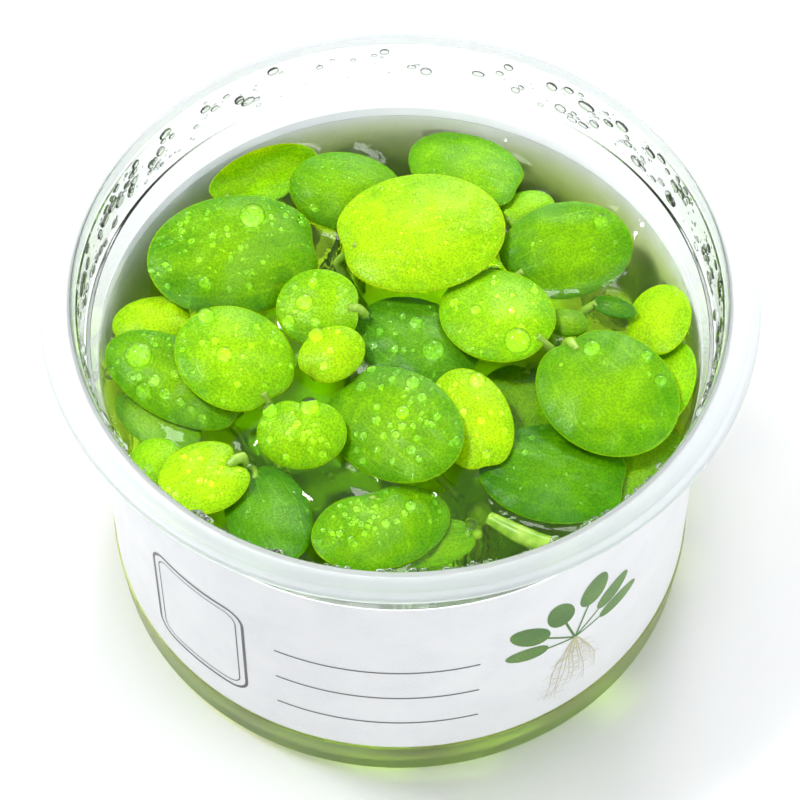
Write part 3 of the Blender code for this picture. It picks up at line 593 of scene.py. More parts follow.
@dataclass(frozen=True)
class BeadFinish(Finish):
    """A bead of water: it gathers lamp light beneath it, shades the leaf beside it and has a painted dark
    rim.
    """

    gathered: Colour = (1.42, 1.42, 1.20)
    shaded: Colour = (0.42, 0.46, 0.36)
    # Painted shade: the dark rim that refraction gives the edge of a real bead.
    edge: Colour = (0.05, 0.12, 0.01)
    sizes: tuple = (1.5, 0.5, 0.2)

    def make(self, variation: bpy.types.NodeTree) -> bpy.types.Material:
        """Make the material from the surface variation group."""
        made, nodes, shader = self.start()
        vary, _ = self.varied(nodes, variation)
        tint = nodes.blend(vary.outputs["Blotch"], (0.99, 1.0, 0.97), (0.97, 1.0, 0.93))
        # Painted shade: the tint darkens towards the bead's grazing edge, as a dark rim.
        painted_rim_mask = nodes.add("ShaderNodeLayerWeight", {"Blend": 0.5}, "Facing")
        tint = nodes.blend(nodes.spread(painted_rim_mask, 0.25, 0.80), tint, self.edge)
        nodes.feed(shader.inputs["Base Color"], tint)
        shader.inputs["Roughness"].default_value = 0.0
        shader.inputs["IOR"].default_value = WATER_IOR
        shader.inputs["Transmission Weight"].default_value = 1.0
        inside = nodes.add("ShaderNodeNewGeometry", out="Backfacing")
        cast = nodes.blend(inside, self.shaded, self.gathered)
        lit = nodes.add("ShaderNodeBsdfTransparent", {"Color": cast})
        path = nodes.add("ShaderNodeLightPath", out="Is Shadow Ray")
        both = nodes.add("ShaderNodeMixShader", {0: path, 1: shader.outputs[0], 2: lit})
        nodes.feed(made.node_tree.nodes["Material Output"].inputs["Surface"], both)
        return made


@dataclass(frozen=True)
class PaperFinish(Finish):
    """The white film wrap or an ink on it, with a fine grain and a satin gloss."""

    colour: Colour
    shade: Colour
    roughness: float = 0.32
    lets_through: float = 0.0
    sizes: tuple = (9.0, 0.25, 0.2)

    def make(self, variation: bpy.types.NodeTree) -> bpy.types.Material:
        """Make the material from the surface variation group."""
        made, nodes, shader = self.start()
        vary, _ = self.varied(nodes, variation)
        mixed = nodes.math("MULTIPLY", vary.outputs["Blotch"], vary.outputs["Grain"])
        nodes.feed(shader.inputs["Base Color"], nodes.blend(mixed, self.colour, self.shade))
        gloss = nodes.spread(vary.outputs["Grain"], 0.0, 1.0, self.roughness - 0.05, self.roughness + 0.08)
        nodes.feed(shader.inputs["Roughness"], gloss)
        bump = nodes.add("ShaderNodeBump", {
            "Strength": 0.06, "Distance": 0.05 * MM, "Height": vary.outputs["Height"]})
        nodes.feed(shader.inputs["Normal"], bump)
        if self.lets_through > 0.0:
            self.lamp_through(made, nodes, shader, (1.0, 1.0, 1.0), self.lets_through)
        return made


class Paints:
    """Every material of the part, made once."""

    def __init__(self) -> None:
        """Make the shared groups, then the materials."""
        vary, veins = surface_group(), vein_group()
        # Each tone: deep, plain and glow colours, then how much painted sheen it carries and how dark its
        # margin is.
        greens = {
            Tone.LIME: ((0.27, 0.60, 0.0), (0.45, 0.80, 0.0), (0.60, 0.90, 0.005), 0.0, 0.3),
            Tone.BRIGHT: ((0.17, 0.49, 0.0), (0.33, 0.70, 0.0), (0.46, 0.82, 0.003), 0.1, 0.4),
            Tone.MID: ((0.09, 0.33, 0.0), (0.22, 0.53, 0.0), (0.34, 0.68, 0.0), 0.25, 0.6),
            Tone.DEEP: ((0.04, 0.20, 0.0), (0.10, 0.35, 0.0), (0.18, 0.47, 0.0), 0.2, 0.5),
            Tone.BLUISH: ((0.06, 0.25, 0.003), (0.12, 0.38, 0.005), (0.20, 0.50, 0.01), 0.6, 0.5),
            Tone.SUNK: ((0.10, 0.30, 0.0), (0.19, 0.45, 0.0), (0.32, 0.58, 0.008), 0.1, 0.3),
        }
        self.leaves = {tone: LeafFinish("leaf " + tone.value, *looks).make(vary, veins)
                       for tone, looks in greens.items()}
        self.stalk = StalkFinish("stalk", (0.20, 0.46, 0.01), (0.48, 0.74, 0.10)).make(vary)
        self.root = StalkFinish("root", (0.34, 0.50, 0.12), (0.68, 0.72, 0.40)).make(vary)
        self.plastic = ClearFinish("clear plastic", (0.94, 0.96, 0.965), PLASTIC_IOR, 0.035).make(vary)
        self.rim = ClearFinish("frosted rim", (0.84, 0.865, 0.88), PLASTIC_IOR, 0.20, frost=0.14,
                               frost_from=66.2, see_through=0.66).make(vary)
        self.foot = ClearFinish("clouded foot", (0.93, 0.96, 0.42), PLASTIC_IOR, 0.30,
                                see_through=0.92).make(vary)
        self.water = ClearFinish("water", (0.98, 1.0, 0.95), WATER_IOR, 0.0, ripple=0.25,
                                 takes_in=(0.80, 0.93, 0.02), thick=72.0).make(vary)
        self.bead = BeadFinish("water bead").make(vary)
        self.bubble = ClearFinish("air bubble", (0.98, 1.0, 0.97), 1.20, 0.0).make(vary)
        self.wrap = PaperFinish("white wrap", (0.92, 0.925, 0.93), (0.84, 0.85, 0.865),
                                lets_through=0.4).make(vary)
        self.ink = PaperFinish("grey ink", (0.09, 0.09, 0.10), (0.16, 0.16, 0.17)).make(vary)
        self.ink_leaf = PaperFinish("green ink", (0.05, 0.17, 0.01), (0.16, 0.33, 0.04)).make(vary)
        self.ink_root = PaperFinish("straw ink", (0.58, 0.55, 0.33), (0.70, 0.67, 0.48)).make(vary)


@dataclass
class Shape:
    """Vertices and faces being gathered for one piece, with numbers kept for each vertex."""

    points: list = field(default_factory=list)
    faces: list = field(default_factory=list)
    kinds: list = field(default_factory=list)
    numbers: dict = field(default_factory=dict)
    count: int = 0

    def add(self, points: np.ndarray, faces: list, kind: int = 0, **numbers: np.ndarray) -> None:
        """Add a closed or open shell.

        Args:
            points: its vertices.
            faces: its faces, as indices into those vertices.
            kind: which of the piece's materials it takes.
            numbers: values kept for each vertex, by name.
        """
        self.points.append(points)
        self.faces += [tuple(index + self.count for index in face) for face in faces]
        self.kinds += [kind] * len(faces)
        for name in {**self.numbers, **numbers}:
            kept = self.numbers.setdefault(name, [np.zeros(self.count)])
            kept.append(numbers.get(name, np.zeros(len(points))))
        self.count += len(points)

    def piece(self, name: str, finishes: list, stands_for: tuple = (), slot: str = "") -> bpy.types.Object:
        """Make the object, and hide the model's nodes that it stands for.

        Args:
            name: the piece's name.
            finishes: its materials.
            stands_for: the model's nodes that it replaces.
            slot: a material slot's name; not used.
        Returns:
            The object.
        """
        mesh = bpy.data.meshes.new(name)
        mesh.from_pydata(np.vstack(self.points).tolist(), [], self.faces)
        for made in finishes:
            mesh.materials.append(made)
        mesh.polygons.foreach_set("material_index", self.kinds)
        for label, values in self.numbers.items():
            if not label.startswith("map_"):
                kept = mesh.attributes.new(label, "FLOAT", "POINT").data
                kept.foreach_set("value", np.concatenate(values).astype(np.float32))
        if "map_u" in self.numbers:
            corners = np.empty(len(mesh.loops), np.int32)
            mesh.loops.foreach_get("vertex_index", corners)
            flat = np.column_stack([np.concatenate(self.numbers[key])[corners] for key in ("map_u", "map_v")])
            mesh.uv_layers.new(name="leaf").data.foreach_set("uv", flat.astype(np.float32).ravel())
        mesh.shade_smooth()
        mesh.validate()
        obj = bpy.data.objects.new(name, mesh)
        bpy.context.scene.collection.objects.link(obj)
        return place(obj, stands_for)


def place(obj: bpy.types.Object, stands_for: tuple) -> bpy.types.Object:
    """Let a finished piece ride on the part and hide the model's nodes that it replaces.

    Args:
        obj: the piece.
        stands_for: the model's nodes that it replaces.
    Returns:
        The piece.
    """
    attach(obj, "root")
    if stands_for:
        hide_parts(*stands_for)
    triangles = sum(len(face.vertices) - 2 for face in obj.data.polygons)
    LOG.info("%s: %d triangles", obj.name, triangles)
    return obj


def grown(obj: bpy.types.Object, tree: bpy.types.NodeTree, values: dict[str, object]) -> bpy.types.Mesh:
    """Run a Geometry Nodes tree on an object and keep the plain mesh that it makes.

    Args:
        obj: the object that carries the guides. It is removed.
        tree: the tree.
        values: the tree's inputs, by name.
    Returns:
        The mesh.
    """
    modifier = obj.modifiers.new("grow", "NODES")
    modifier.node_group = tree
    for item in tree.interface.items_tree:
        if item.in_out == "INPUT" and item.name in values:
            modifier[item.identifier] = values[item.name]
    bpy.context.view_layer.update()
    graph = bpy.context.evaluated_depsgraph_get()
    mesh = bpy.data.meshes.new_from_object(obj.evaluated_get(graph))
    obj.modifiers.remove(modifier)
    bpy.data.objects.remove(obj, do_unlink=True)
    return mesh


def guide(name: str, points: np.ndarray, faces: list, numbers: dict | None = None,
          edges: list | tuple = ()) -> bpy.types.Object:
    """A plain object that a tree reads: its points, faces, a number for each point, and loose edges."""
    mesh = bpy.data.meshes.new(name)
    mesh.from_pydata(points.tolist(), edges, faces)
    for label, values in (numbers or {}).items():
        mesh.attributes.new(label, "FLOAT", "POINT").data.foreach_set("value", values.astype(np.float32))
    obj = bpy.data.objects.new(name, mesh)
    bpy.context.scene.collection.objects.link(obj)
    return obj


def finished(name: str, mesh: bpy.types.Mesh, stands_for: tuple = ()) -> bpy.types.Object:
    """Make a piece from a mesh that a tree made."""
    mesh.name = name
    obj = bpy.data.objects.new(name, mesh)
    bpy.context.scene.collection.objects.link(obj)
    return place(obj, stands_for)


def inner_radius(height: object) -> object:
    """The radius of the cup's inside at a height above its bottom corner."""
    return np.interp(height, INSIDE_HEIGHTS, INSIDE_RADII)


def turn_faces(rows: int, sides: int) -> list:
    """Quads between rings of a turned net, whose rows run down its outer side."""
    faces = []
    for row in range(rows - 1):
        first, second = row * sides, (row + 1) * sides
        for side in range(sides):
            after = (side + 1) % sides
            faces.append((first + side, second + side, second + after, first + after))
    return faces


def disc_faces(rings: int, spokes: int) -> list:
    """Faces of a disc seen from above: a middle point, then rings of points from the inside out."""
    faces = [(0, 1 + i, 1 + (i + 1) % spokes) for i in range(spokes)]
    for ring in range(rings - 1):
        first, second = 1 + ring * spokes, 1 + (ring + 1) * spokes
        for i in range(spokes):
            after = (i + 1) % spokes
            faces.append((first + i, second + i, second + after, first + after))
    return faces


def level_ring(radius: float, height: float, turns: np.ndarray) -> np.ndarray:
    """Points of a level ring round Z."""
    return np.column_stack([radius * np.cos(turns), radius * np.sin(turns), np.full(len(turns), height)])


def turned(profile: list, sides: int) -> tuple[np.ndarray, list]:
    """Turn a profile about Z. It runs down the outer side, and its ends on the axis are closed.

    Args:
        profile: (radius, height) points.
        sides: how many steps go round.
    Returns:
        The points and the faces.
    """
    turns = np.linspace(0.0, 2 * math.pi, sides, endpoint=False)
    rings = [(r, z) for r, z in profile if r > ON_AXIS]
    points = [level_ring(r, z, turns) for r, z in rings]
    faces = turn_faces(len(rings), sides)
    last = (len(rings) - 1) * sides
    poles = []
    if profile[0][0] <= ON_AXIS:
        poles.append([0.0, 0.0, profile[0][1]])
        top = len(rings) * sides
        faces += [(top, side, (side + 1) % sides) for side in range(sides)]
    if profile[-1][0] <= ON_AXIS:
        poles.append([0.0, 0.0, profile[-1][1]])
        end = len(rings) * sides + len(poles) - 1
        faces += [(end, last + (side + 1) % sides, last + side) for side in range(sides)]
    return np.vstack(points + ([np.array(poles)] if poles else [])), faces


def rounded(profile: list, cut: float, steps: int = 3) -> list:
    """Round a profile's corners by short curves.

    Args:
        profile: (radius, height) points.
        cut: how far from its corner a curve starts.
        steps: how many steps a curve takes.
    Returns:
        The rounded profile, with a point beside each curve that keeps the shading of long faces true.
    """
    corners = [np.array(point) for point in profile]
    smooth = [tuple(corners[0])]
    for before, corner, after in zip(corners, corners[1:], corners[2:]):
        back, ahead = before - corner, after - corner
        back_share = min(LARGEST_CUT, cut / max(np.linalg.norm(back), 1e-9))
        ahead_share = min(LARGEST_CUT, cut / max(np.linalg.norm(ahead), 1e-9))
        start, end = corner + back * back_share, corner + ahead * ahead_share
        smooth.append(tuple(corner + back * SUPPORT_AT * back_share))
        for t in np.linspace(0.0, 1.0, steps + 1):
            smooth.append(tuple((1 - t) ** 2 * start + 2 * t * (1 - t) * corner + t**2 * end))
        smooth.append(tuple(corner + ahead * SUPPORT_AT * ahead_share))
    smooth.append(tuple(corners[-1]))
    return smooth


@dataclass
class Cup:
    """The clear moulding: flat rim with a skirt, lid ledge, wall, foot ring and raised floor."""

    paints: Paints
    edge: float = 0.22 * MM
    frosted_from: float = 65.6 * MM
    wall_behind_label: float = -0.03 * MM

    def profile(self) -> list:
        """The cut through the wall, from the middle of the floor up the inside and down the outside."""
        label_wall = LABEL_THICKNESS + self.wall_behind_label
        corner = inner_radius(FLOOR_CORNER_Z)
        inside = [
            (0.0, FLOOR_Z),
            (20.0 * MM, FLOOR_Z),
            (FLOOR_RADIUS - 1.2 * MM, FLOOR_Z),
            (FLOOR_RADIUS + 0.4 * MM, FLOOR_Z + 0.5 * MM),
            (corner, FLOOR_CORNER_Z),
            (inner_radius(LABEL_TOP), LABEL_TOP),
            (inner_radius(LEDGE_Z - LEDGE_STEP), LEDGE_Z - LEDGE_STEP),
            (inner_radius(LEDGE_Z), LEDGE_Z),
            (inner_radius(MOUTH_CHAMFER_Z), MOUTH_CHAMFER_Z),
            (MOUTH_RADIUS - 0.25 * MM, CUP_HEIGHT - 0.5 * MM),
            (MOUTH_RADIUS + 0.1 * MM, CUP_HEIGHT),
        ]
        outside = [
            (RIM_RADIUS - 1.6 * MM, CUP_HEIGHT),
            (RIM_RADIUS - 1.3 * MM, CUP_HEIGHT - 0.15 * MM),
            (RIM_RADIUS - 0.4 * MM, CUP_HEIGHT - 0.2 * MM),
            (RIM_RADIUS, CUP_HEIGHT - 0.6 * MM),
            (RIM_RADIUS, CUP_HEIGHT - SKIRT_DEPTH),
            (RIM_RADIUS - SKIRT_THICKNESS, CUP_HEIGHT - SKIRT_DEPTH),
            (RIM_RADIUS - SKIRT_THICKNESS, CUP_HEIGHT - RIM_THICKNESS - 0.1 * MM),
            (MOUTH_RADIUS + SKIRT_THICKNESS, CUP_HEIGHT - RIM_THICKNESS),
            (MOUTH_RADIUS, MOUTH_CHAMFER_Z - 0.3 * MM),
            (inner_radius(LEDGE_Z) + WALL, LEDGE_Z - 0.5 * LEDGE_STEP),
            (inner_radius(LEDGE_Z - LEDGE_STEP) + WALL, LEDGE_Z - 1.5 * LEDGE_STEP),
            (SHOULDER_RADIUS, LABEL_TOP + LABEL_MARGIN),
            (SHOULDER_RADIUS - label_wall, LABEL_TOP + 0.5 * LABEL_MARGIN),
            (LABEL_BOTTOM_RADIUS - label_wall, LABEL_BOTTOM - 0.5 * LABEL_MARGIN),
            (LABEL_BOTTOM_RADIUS + 0.25 * MM, LABEL_BOTTOM - LABEL_MARGIN),
            (BASE_RADIUS, 1.0 * MM),
            (BASE_RADIUS - 0.9 * MM, 0.0),
            (FOOT_INNER, 0.0),
            (FOOT_INNER - BASE_RECESS, BASE_RECESS),
            (20.0 * MM, BASE_RECESS),
            (0.0, BASE_RECESS),
        ]
        return rounded(inside, self.edge) + rounded(outside, self.edge)

    def build(self) -> None:
        """Turn the cup."""
        points, faces = turned(self.profile(), CUP_SIDES)
        middles = np.array([points[list(face)].mean(axis=0) for face in faces])
        radius, height = np.hypot(middles[:, 0], middles[:, 1]), middles[:, 2]
        on_rim = (height > self.frosted_from) & (radius > MOUTH_RADIUS)
        on_foot = (height < LABEL_BOTTOM) & (radius > inner_radius(height) + 0.2 * MM)
        shape = Shape()
        shape.add(points, faces)
        shape.kinds = (on_rim + 2 * on_foot).astype(int).tolist()
        finishes = [self.paints.plastic, self.paints.rim, self.paints.foot]
        shape.piece("cup_moulding", finishes, ("cup",), "clear_plastic")


@dataclass
class Wrap:
    """The white film round the cup, with a plain printed layout: a blank box, ruled lines and a sprig."""

    paints: Paints
    lift: float = 0.03 * MM

    def radius(self, height: object) -> object:
        """The wrap's outer radius at a height."""
        return np.interp(height, (LABEL_BOTTOM, LABEL_TOP), (LABEL_BOTTOM_RADIUS, SHOULDER_RADIUS))

    def on_film(self, arc_mm: np.ndarray, height_mm: np.ndarray) -> np.ndarray:
        """Places on the film, from the distance round it to the right of its front and the height."""
        height = np.asarray(height_mm) * MM
        radius = self.radius(height) + self.lift
        turn = np.asarray(arc_mm) * MM / SHOULDER_RADIUS - math.pi / 2
        return np.column_stack([radius * np.cos(turn), radius * np.sin(turn), height])

    def strip(self, shape: Shape, line: np.ndarray, widths: np.ndarray) -> None:
        """A printed line along points on the film.

        Args:
            shape: what to add it to.
            line: (distance, height) points in mm.
            widths: the line's width at each point, in mm.
        """
        run = np.gradient(line, axis=0)
        run /= np.maximum(np.linalg.norm(run, axis=1, keepdims=True), 1e-9)
        side = np.column_stack([-run[:, 1], run[:, 0]]) * widths[:, None] / 2
        both = np.vstack([line - side, line + side])
        count = len(line)
        faces = [(i, i + 1, count + i + 1, count + i) for i in range(count - 1)]
        shape.add(self.on_film(both[:, 0], both[:, 1]), faces)

    def oval(self, shape: Shape, middle: tuple, size: tuple, tilt: float) -> None:
        """A filled printed oval leaf, in mm, tilted by degrees."""
        rings, spokes = 4, 28
        angle = np.linspace(0, 2 * math.pi, spokes, endpoint=False)
        turn = math.radians(tilt)
        points = [np.array([middle])]
        for ring in range(1, rings + 1):
            share = ring / rings
            x = share * size[0] / 2 * np.cos(angle) * (1 + 0.08 * np.cos(angle))
            y = share * size[1] / 2 * np.sin(angle)
            points.append(np.column_stack([middle[0] + x * math.cos(turn) - y * math.sin(turn),
                                           middle[1] + x * math.sin(turn) + y * math.cos(turn)]))
        flat = np.vstack(points)
        shape.add(self.on_film(flat[:, 0], flat[:, 1]), disc_faces(rings, spokes))

    def build_film(self) -> None:
        """The film itself, with thin rounded edges."""
        profile = [
            (SHOULDER_RADIUS - LABEL_THICKNESS, LABEL_TOP),
            (SHOULDER_RADIUS, LABEL_TOP),
            (self.radius(0.5 * (LABEL_TOP + LABEL_BOTTOM)), 0.5 * (LABEL_TOP + LABEL_BOTTOM)),
            (LABEL_BOTTOM_RADIUS, LABEL_BOTTOM),
            (LABEL_BOTTOM_RADIUS - LABEL_THICKNESS, LABEL_BOTTOM),
        ]
        points, faces = turned(rounded(profile, 0.05 * MM, 2), CUP_SIDES)
        rows = len(points) // CUP_SIDES
        last = (rows - 1) * CUP_SIDES
        for side in range(CUP_SIDES):
            after = (side + 1) % CUP_SIDES
            faces.append((last + side, side, after, last + after))
        shape = Shape()
        shape.add(points, faces)
        shape.piece("wrap_film", [self.paints.wrap], ("label_band",), "white_label")

    def build_lines(self) -> None:
        """A blank rounded box and three ruled lines."""
        grey = Shape()
        for inset, width in ((0.0, 0.55), (1.3, 0.22)):
            half_x, half_y, bend = 9.5 - inset, 12.0 - inset, 3.2 - 0.6 * inset
            outline = []
            for start, sx, sy in ((0, 1, 1), (90, -1, 1), (180, -1, -1), (270, 1, -1)):
                for turn in np.radians(np.linspace(start, start + 90, 9)):
                    outline.append((-35.0 + sx * (half_x - bend) + bend * math.cos(turn),
                                    27.0 + sy * (half_y - bend) + bend * math.sin(turn)))
            outline.append(outline[0])
            line = evenly(np.array(outline), 140)
            self.strip(grey, line, np.full(len(line), width))
        for height in (33.0, 25.0, 17.0):
            line = evenly(np.array([(-20.0, height), (12.5, height)]), 40)
            self.strip(grey, line, np.full(len(line), 0.35))
        grey.piece("wrap_ruled_lines", [self.paints.ink], (), "white_label")

    def build_sprig(self) -> None:
        """A drawn sprig: oval leaves on stalks and branched roots, none of it from the photograph."""
        roots, leaves = Shape(), Shape()
        rng = np.random.default_rng(5)
        heart = np.array([29.0, 29.5])
        steps = np.linspace(0.0, 1.0, 22)
        for spread in np.linspace(-5.5, 5.5, 9):
            reach = rng.uniform(10.0, 17.0)
            wave = rng.uniform(0.3, 0.8) * np.sin(steps * rng.uniform(5, 9) + rng.uniform(0, 6))
            line = np.column_stack([heart[0] + spread * steps**0.7 + wave * steps, heart[1] - reach * steps])
            self.strip(roots, line, 0.28 * (1.0 - 0.75 * steps))
            for share in np.arange(0.2, 0.95, 0.09):
                here = line[int(share * (len(steps) - 1))]
                way = rng.choice((-1.0, 1.0))
                tip = here + np.array([way * rng.uniform(0.8, 1.9), -rng.uniform(0.5, 1.3)])
                self.strip(roots, evenly(np.array([here, tip]), 5), np.full(5, 0.10))
        for turn, far, size in ((168, 8.6, (7.6, 3.6)), (140, 10.6, (8.4, 4.6)), (108, 9.8, (7.4, 4.8)),
                                (74, 11.4, (8.0, 5.2)), (42, 9.6, (7.8, 4.2)), (14, 8.8, (8.2, 3.8))):
            way = np.array([math.cos(math.radians(turn)), math.sin(math.radians(turn))])
            stalk = evenly(np.array([heart, heart + way * (far - 0.4 * size[0])]), 14)
            self.strip(leaves, stalk, np.full(14, 0.42))
            self.oval(leaves, tuple(heart + way * far), size, turn)
        roots.piece("wrap_printed_roots", [self.paints.ink_root], (), "white_label")
        leaves.piece("wrap_printed_leaves", [self.paints.ink_leaf], (), "white_label")

    def build(self) -> None:
        """Make the film, then what is printed on it."""
        self.build_film()
        self.build_lines()
        self.build_sprig()


@dataclass
class Seat:
    """Where a leaf came to lie: its height, its added slopes and a nudge off the wall."""

    height: float
    slope_x: float
    slope_y: float
    nudge: np.ndarray


def outline_share(leaf: Leaf, angle: np.ndarray) -> np.ndarray:
    """How far the edge stands from the middle at an angle from the tip, 1 on a plain oval."""
    from_base = np.abs(np.abs(angle) - math.pi)
    notch = leaf.notch * np.exp(-((from_base / NOTCH_SPREAD) ** 2))
    return 1.0 + TIP_SHARE * np.cos(angle) - notch


def blade_points(leaf: Leaf, across: np.ndarray, angle: np.ndarray) -> tuple:
    """Places on the blade's middle surface before it is set down: offsets and heights in metres."""
    share = across * outline_share(leaf, angle)
    along = 0.5 * leaf.length * MM * share * np.cos(angle)
    aside = 0.5 * leaf.width * MM * share * np.sin(angle)
    heading = math.radians(leaf.heading)
    dx = along * math.cos(heading) - aside * math.sin(heading)
    dy = along * math.sin(heading) + aside * math.cos(heading)
    height = leaf.dome * leaf.width * MM * (DOME_LEVEL - across**2)
    to_base = np.maximum(0.0, -share * np.cos(angle) - CURL_START)
    height = height + leaf.curl * MM * to_base**2
    slope = math.radians(leaf.rise_to)
    height = height + leaf.rise * (dx * math.cos(slope) + dy * math.sin(slope))
    return dx, dy, height


def set_down(leaf: Leaf, seat: Seat, dx: np.ndarray, dy: np.ndarray, height: np.ndarray) -> np.ndarray:
    """The blade's points in world space for a seat. A raised leaf slides along its line of sight."""
    lift = height + seat.height + seat.slope_x * dx + seat.slope_y * dy
    middle = np.array([leaf.x * MM, leaf.y * MM, LEAF_LEVEL])
    slide = (EYE[:2] - middle[:2]) / (EYE[2] - middle[2])
    x = leaf.x * MM + seat.nudge[0] + dx + lift * slide[0]
    y = leaf.y * MM + seat.nudge[1] + dy + lift * slide[1]
    return np.stack([x, y, LEAF_LEVEL + lift], axis=-1)


def half_thickness(across: np.ndarray) -> np.ndarray:
    """Half of the blade's thickness, which thins towards the edge."""
    return 0.5 * LEAF_THICKNESS * (1.0 - (1.0 - EDGE_THICKNESS_SHARE) * across**2)


def bezier(points: tuple, count: int) -> np.ndarray:
    """Points along a cubic curve with four control points."""
    t = np.linspace(0.0, 1.0, count)[:, None]
    a, b, c, d = points
    return (1 - t) ** 3 * a + 3 * (1 - t) ** 2 * t * b + 3 * (1 - t) * t**2 * c + t**3 * d


def evenly(points: np.ndarray, count: int) -> np.ndarray:
    """This many points read from a line at equal steps along it."""
    along = np.concatenate([[0.0], np.cumsum(np.linalg.norm(np.diff(points, axis=0), axis=1))])
    wanted = np.linspace(0.0, along[-1], count)
    return np.stack([np.interp(wanted, along, column) for column in points.T], axis=1)


def tube(points: np.ndarray, radii: np.ndarray, sides: int = 12) -> tuple[np.ndarray, list]:
    """A round tube with closed ends through points.

    Args:
        points: its middle line.
        radii: its radius at each point.
        sides: how many faces go round.
    Returns:
        The vertices and the faces.
    """
    run = np.gradient(points, axis=0)
    run /= np.maximum(np.linalg.norm(run, axis=1, keepdims=True), 1e-12)
    side = np.cross(run[0], (0.3, 0.5, 0.8))
    turns = np.linspace(0.0, 2 * math.pi, sides, endpoint=False)
    rings = []
    for point, way, radius in zip(points, run, radii):
        side = side - way * side.dot(way)
        side /= np.linalg.norm(side)
        other = np.cross(way, side)
        rings.append(point + radius * (np.cos(turns)[:, None] * side + np.sin(turns)[:, None] * other))
    faces = []
    for row in range(len(points) - 1):
        first, second = row * sides, (row + 1) * sides
        for i in range(sides):
            after = (i + 1) % sides
            faces.append((first + i, first + after, second + after, second + i))
    end = len(points) * sides
    last = end - sides
    faces += [(end, (i + 1) % sides, i) for i in range(sides)]
    faces += [(end + 1, last + i, last + (i + 1) % sides) for i in range(sides)]
    return np.vstack([*rings, points[:1], points[-1:]]), faces


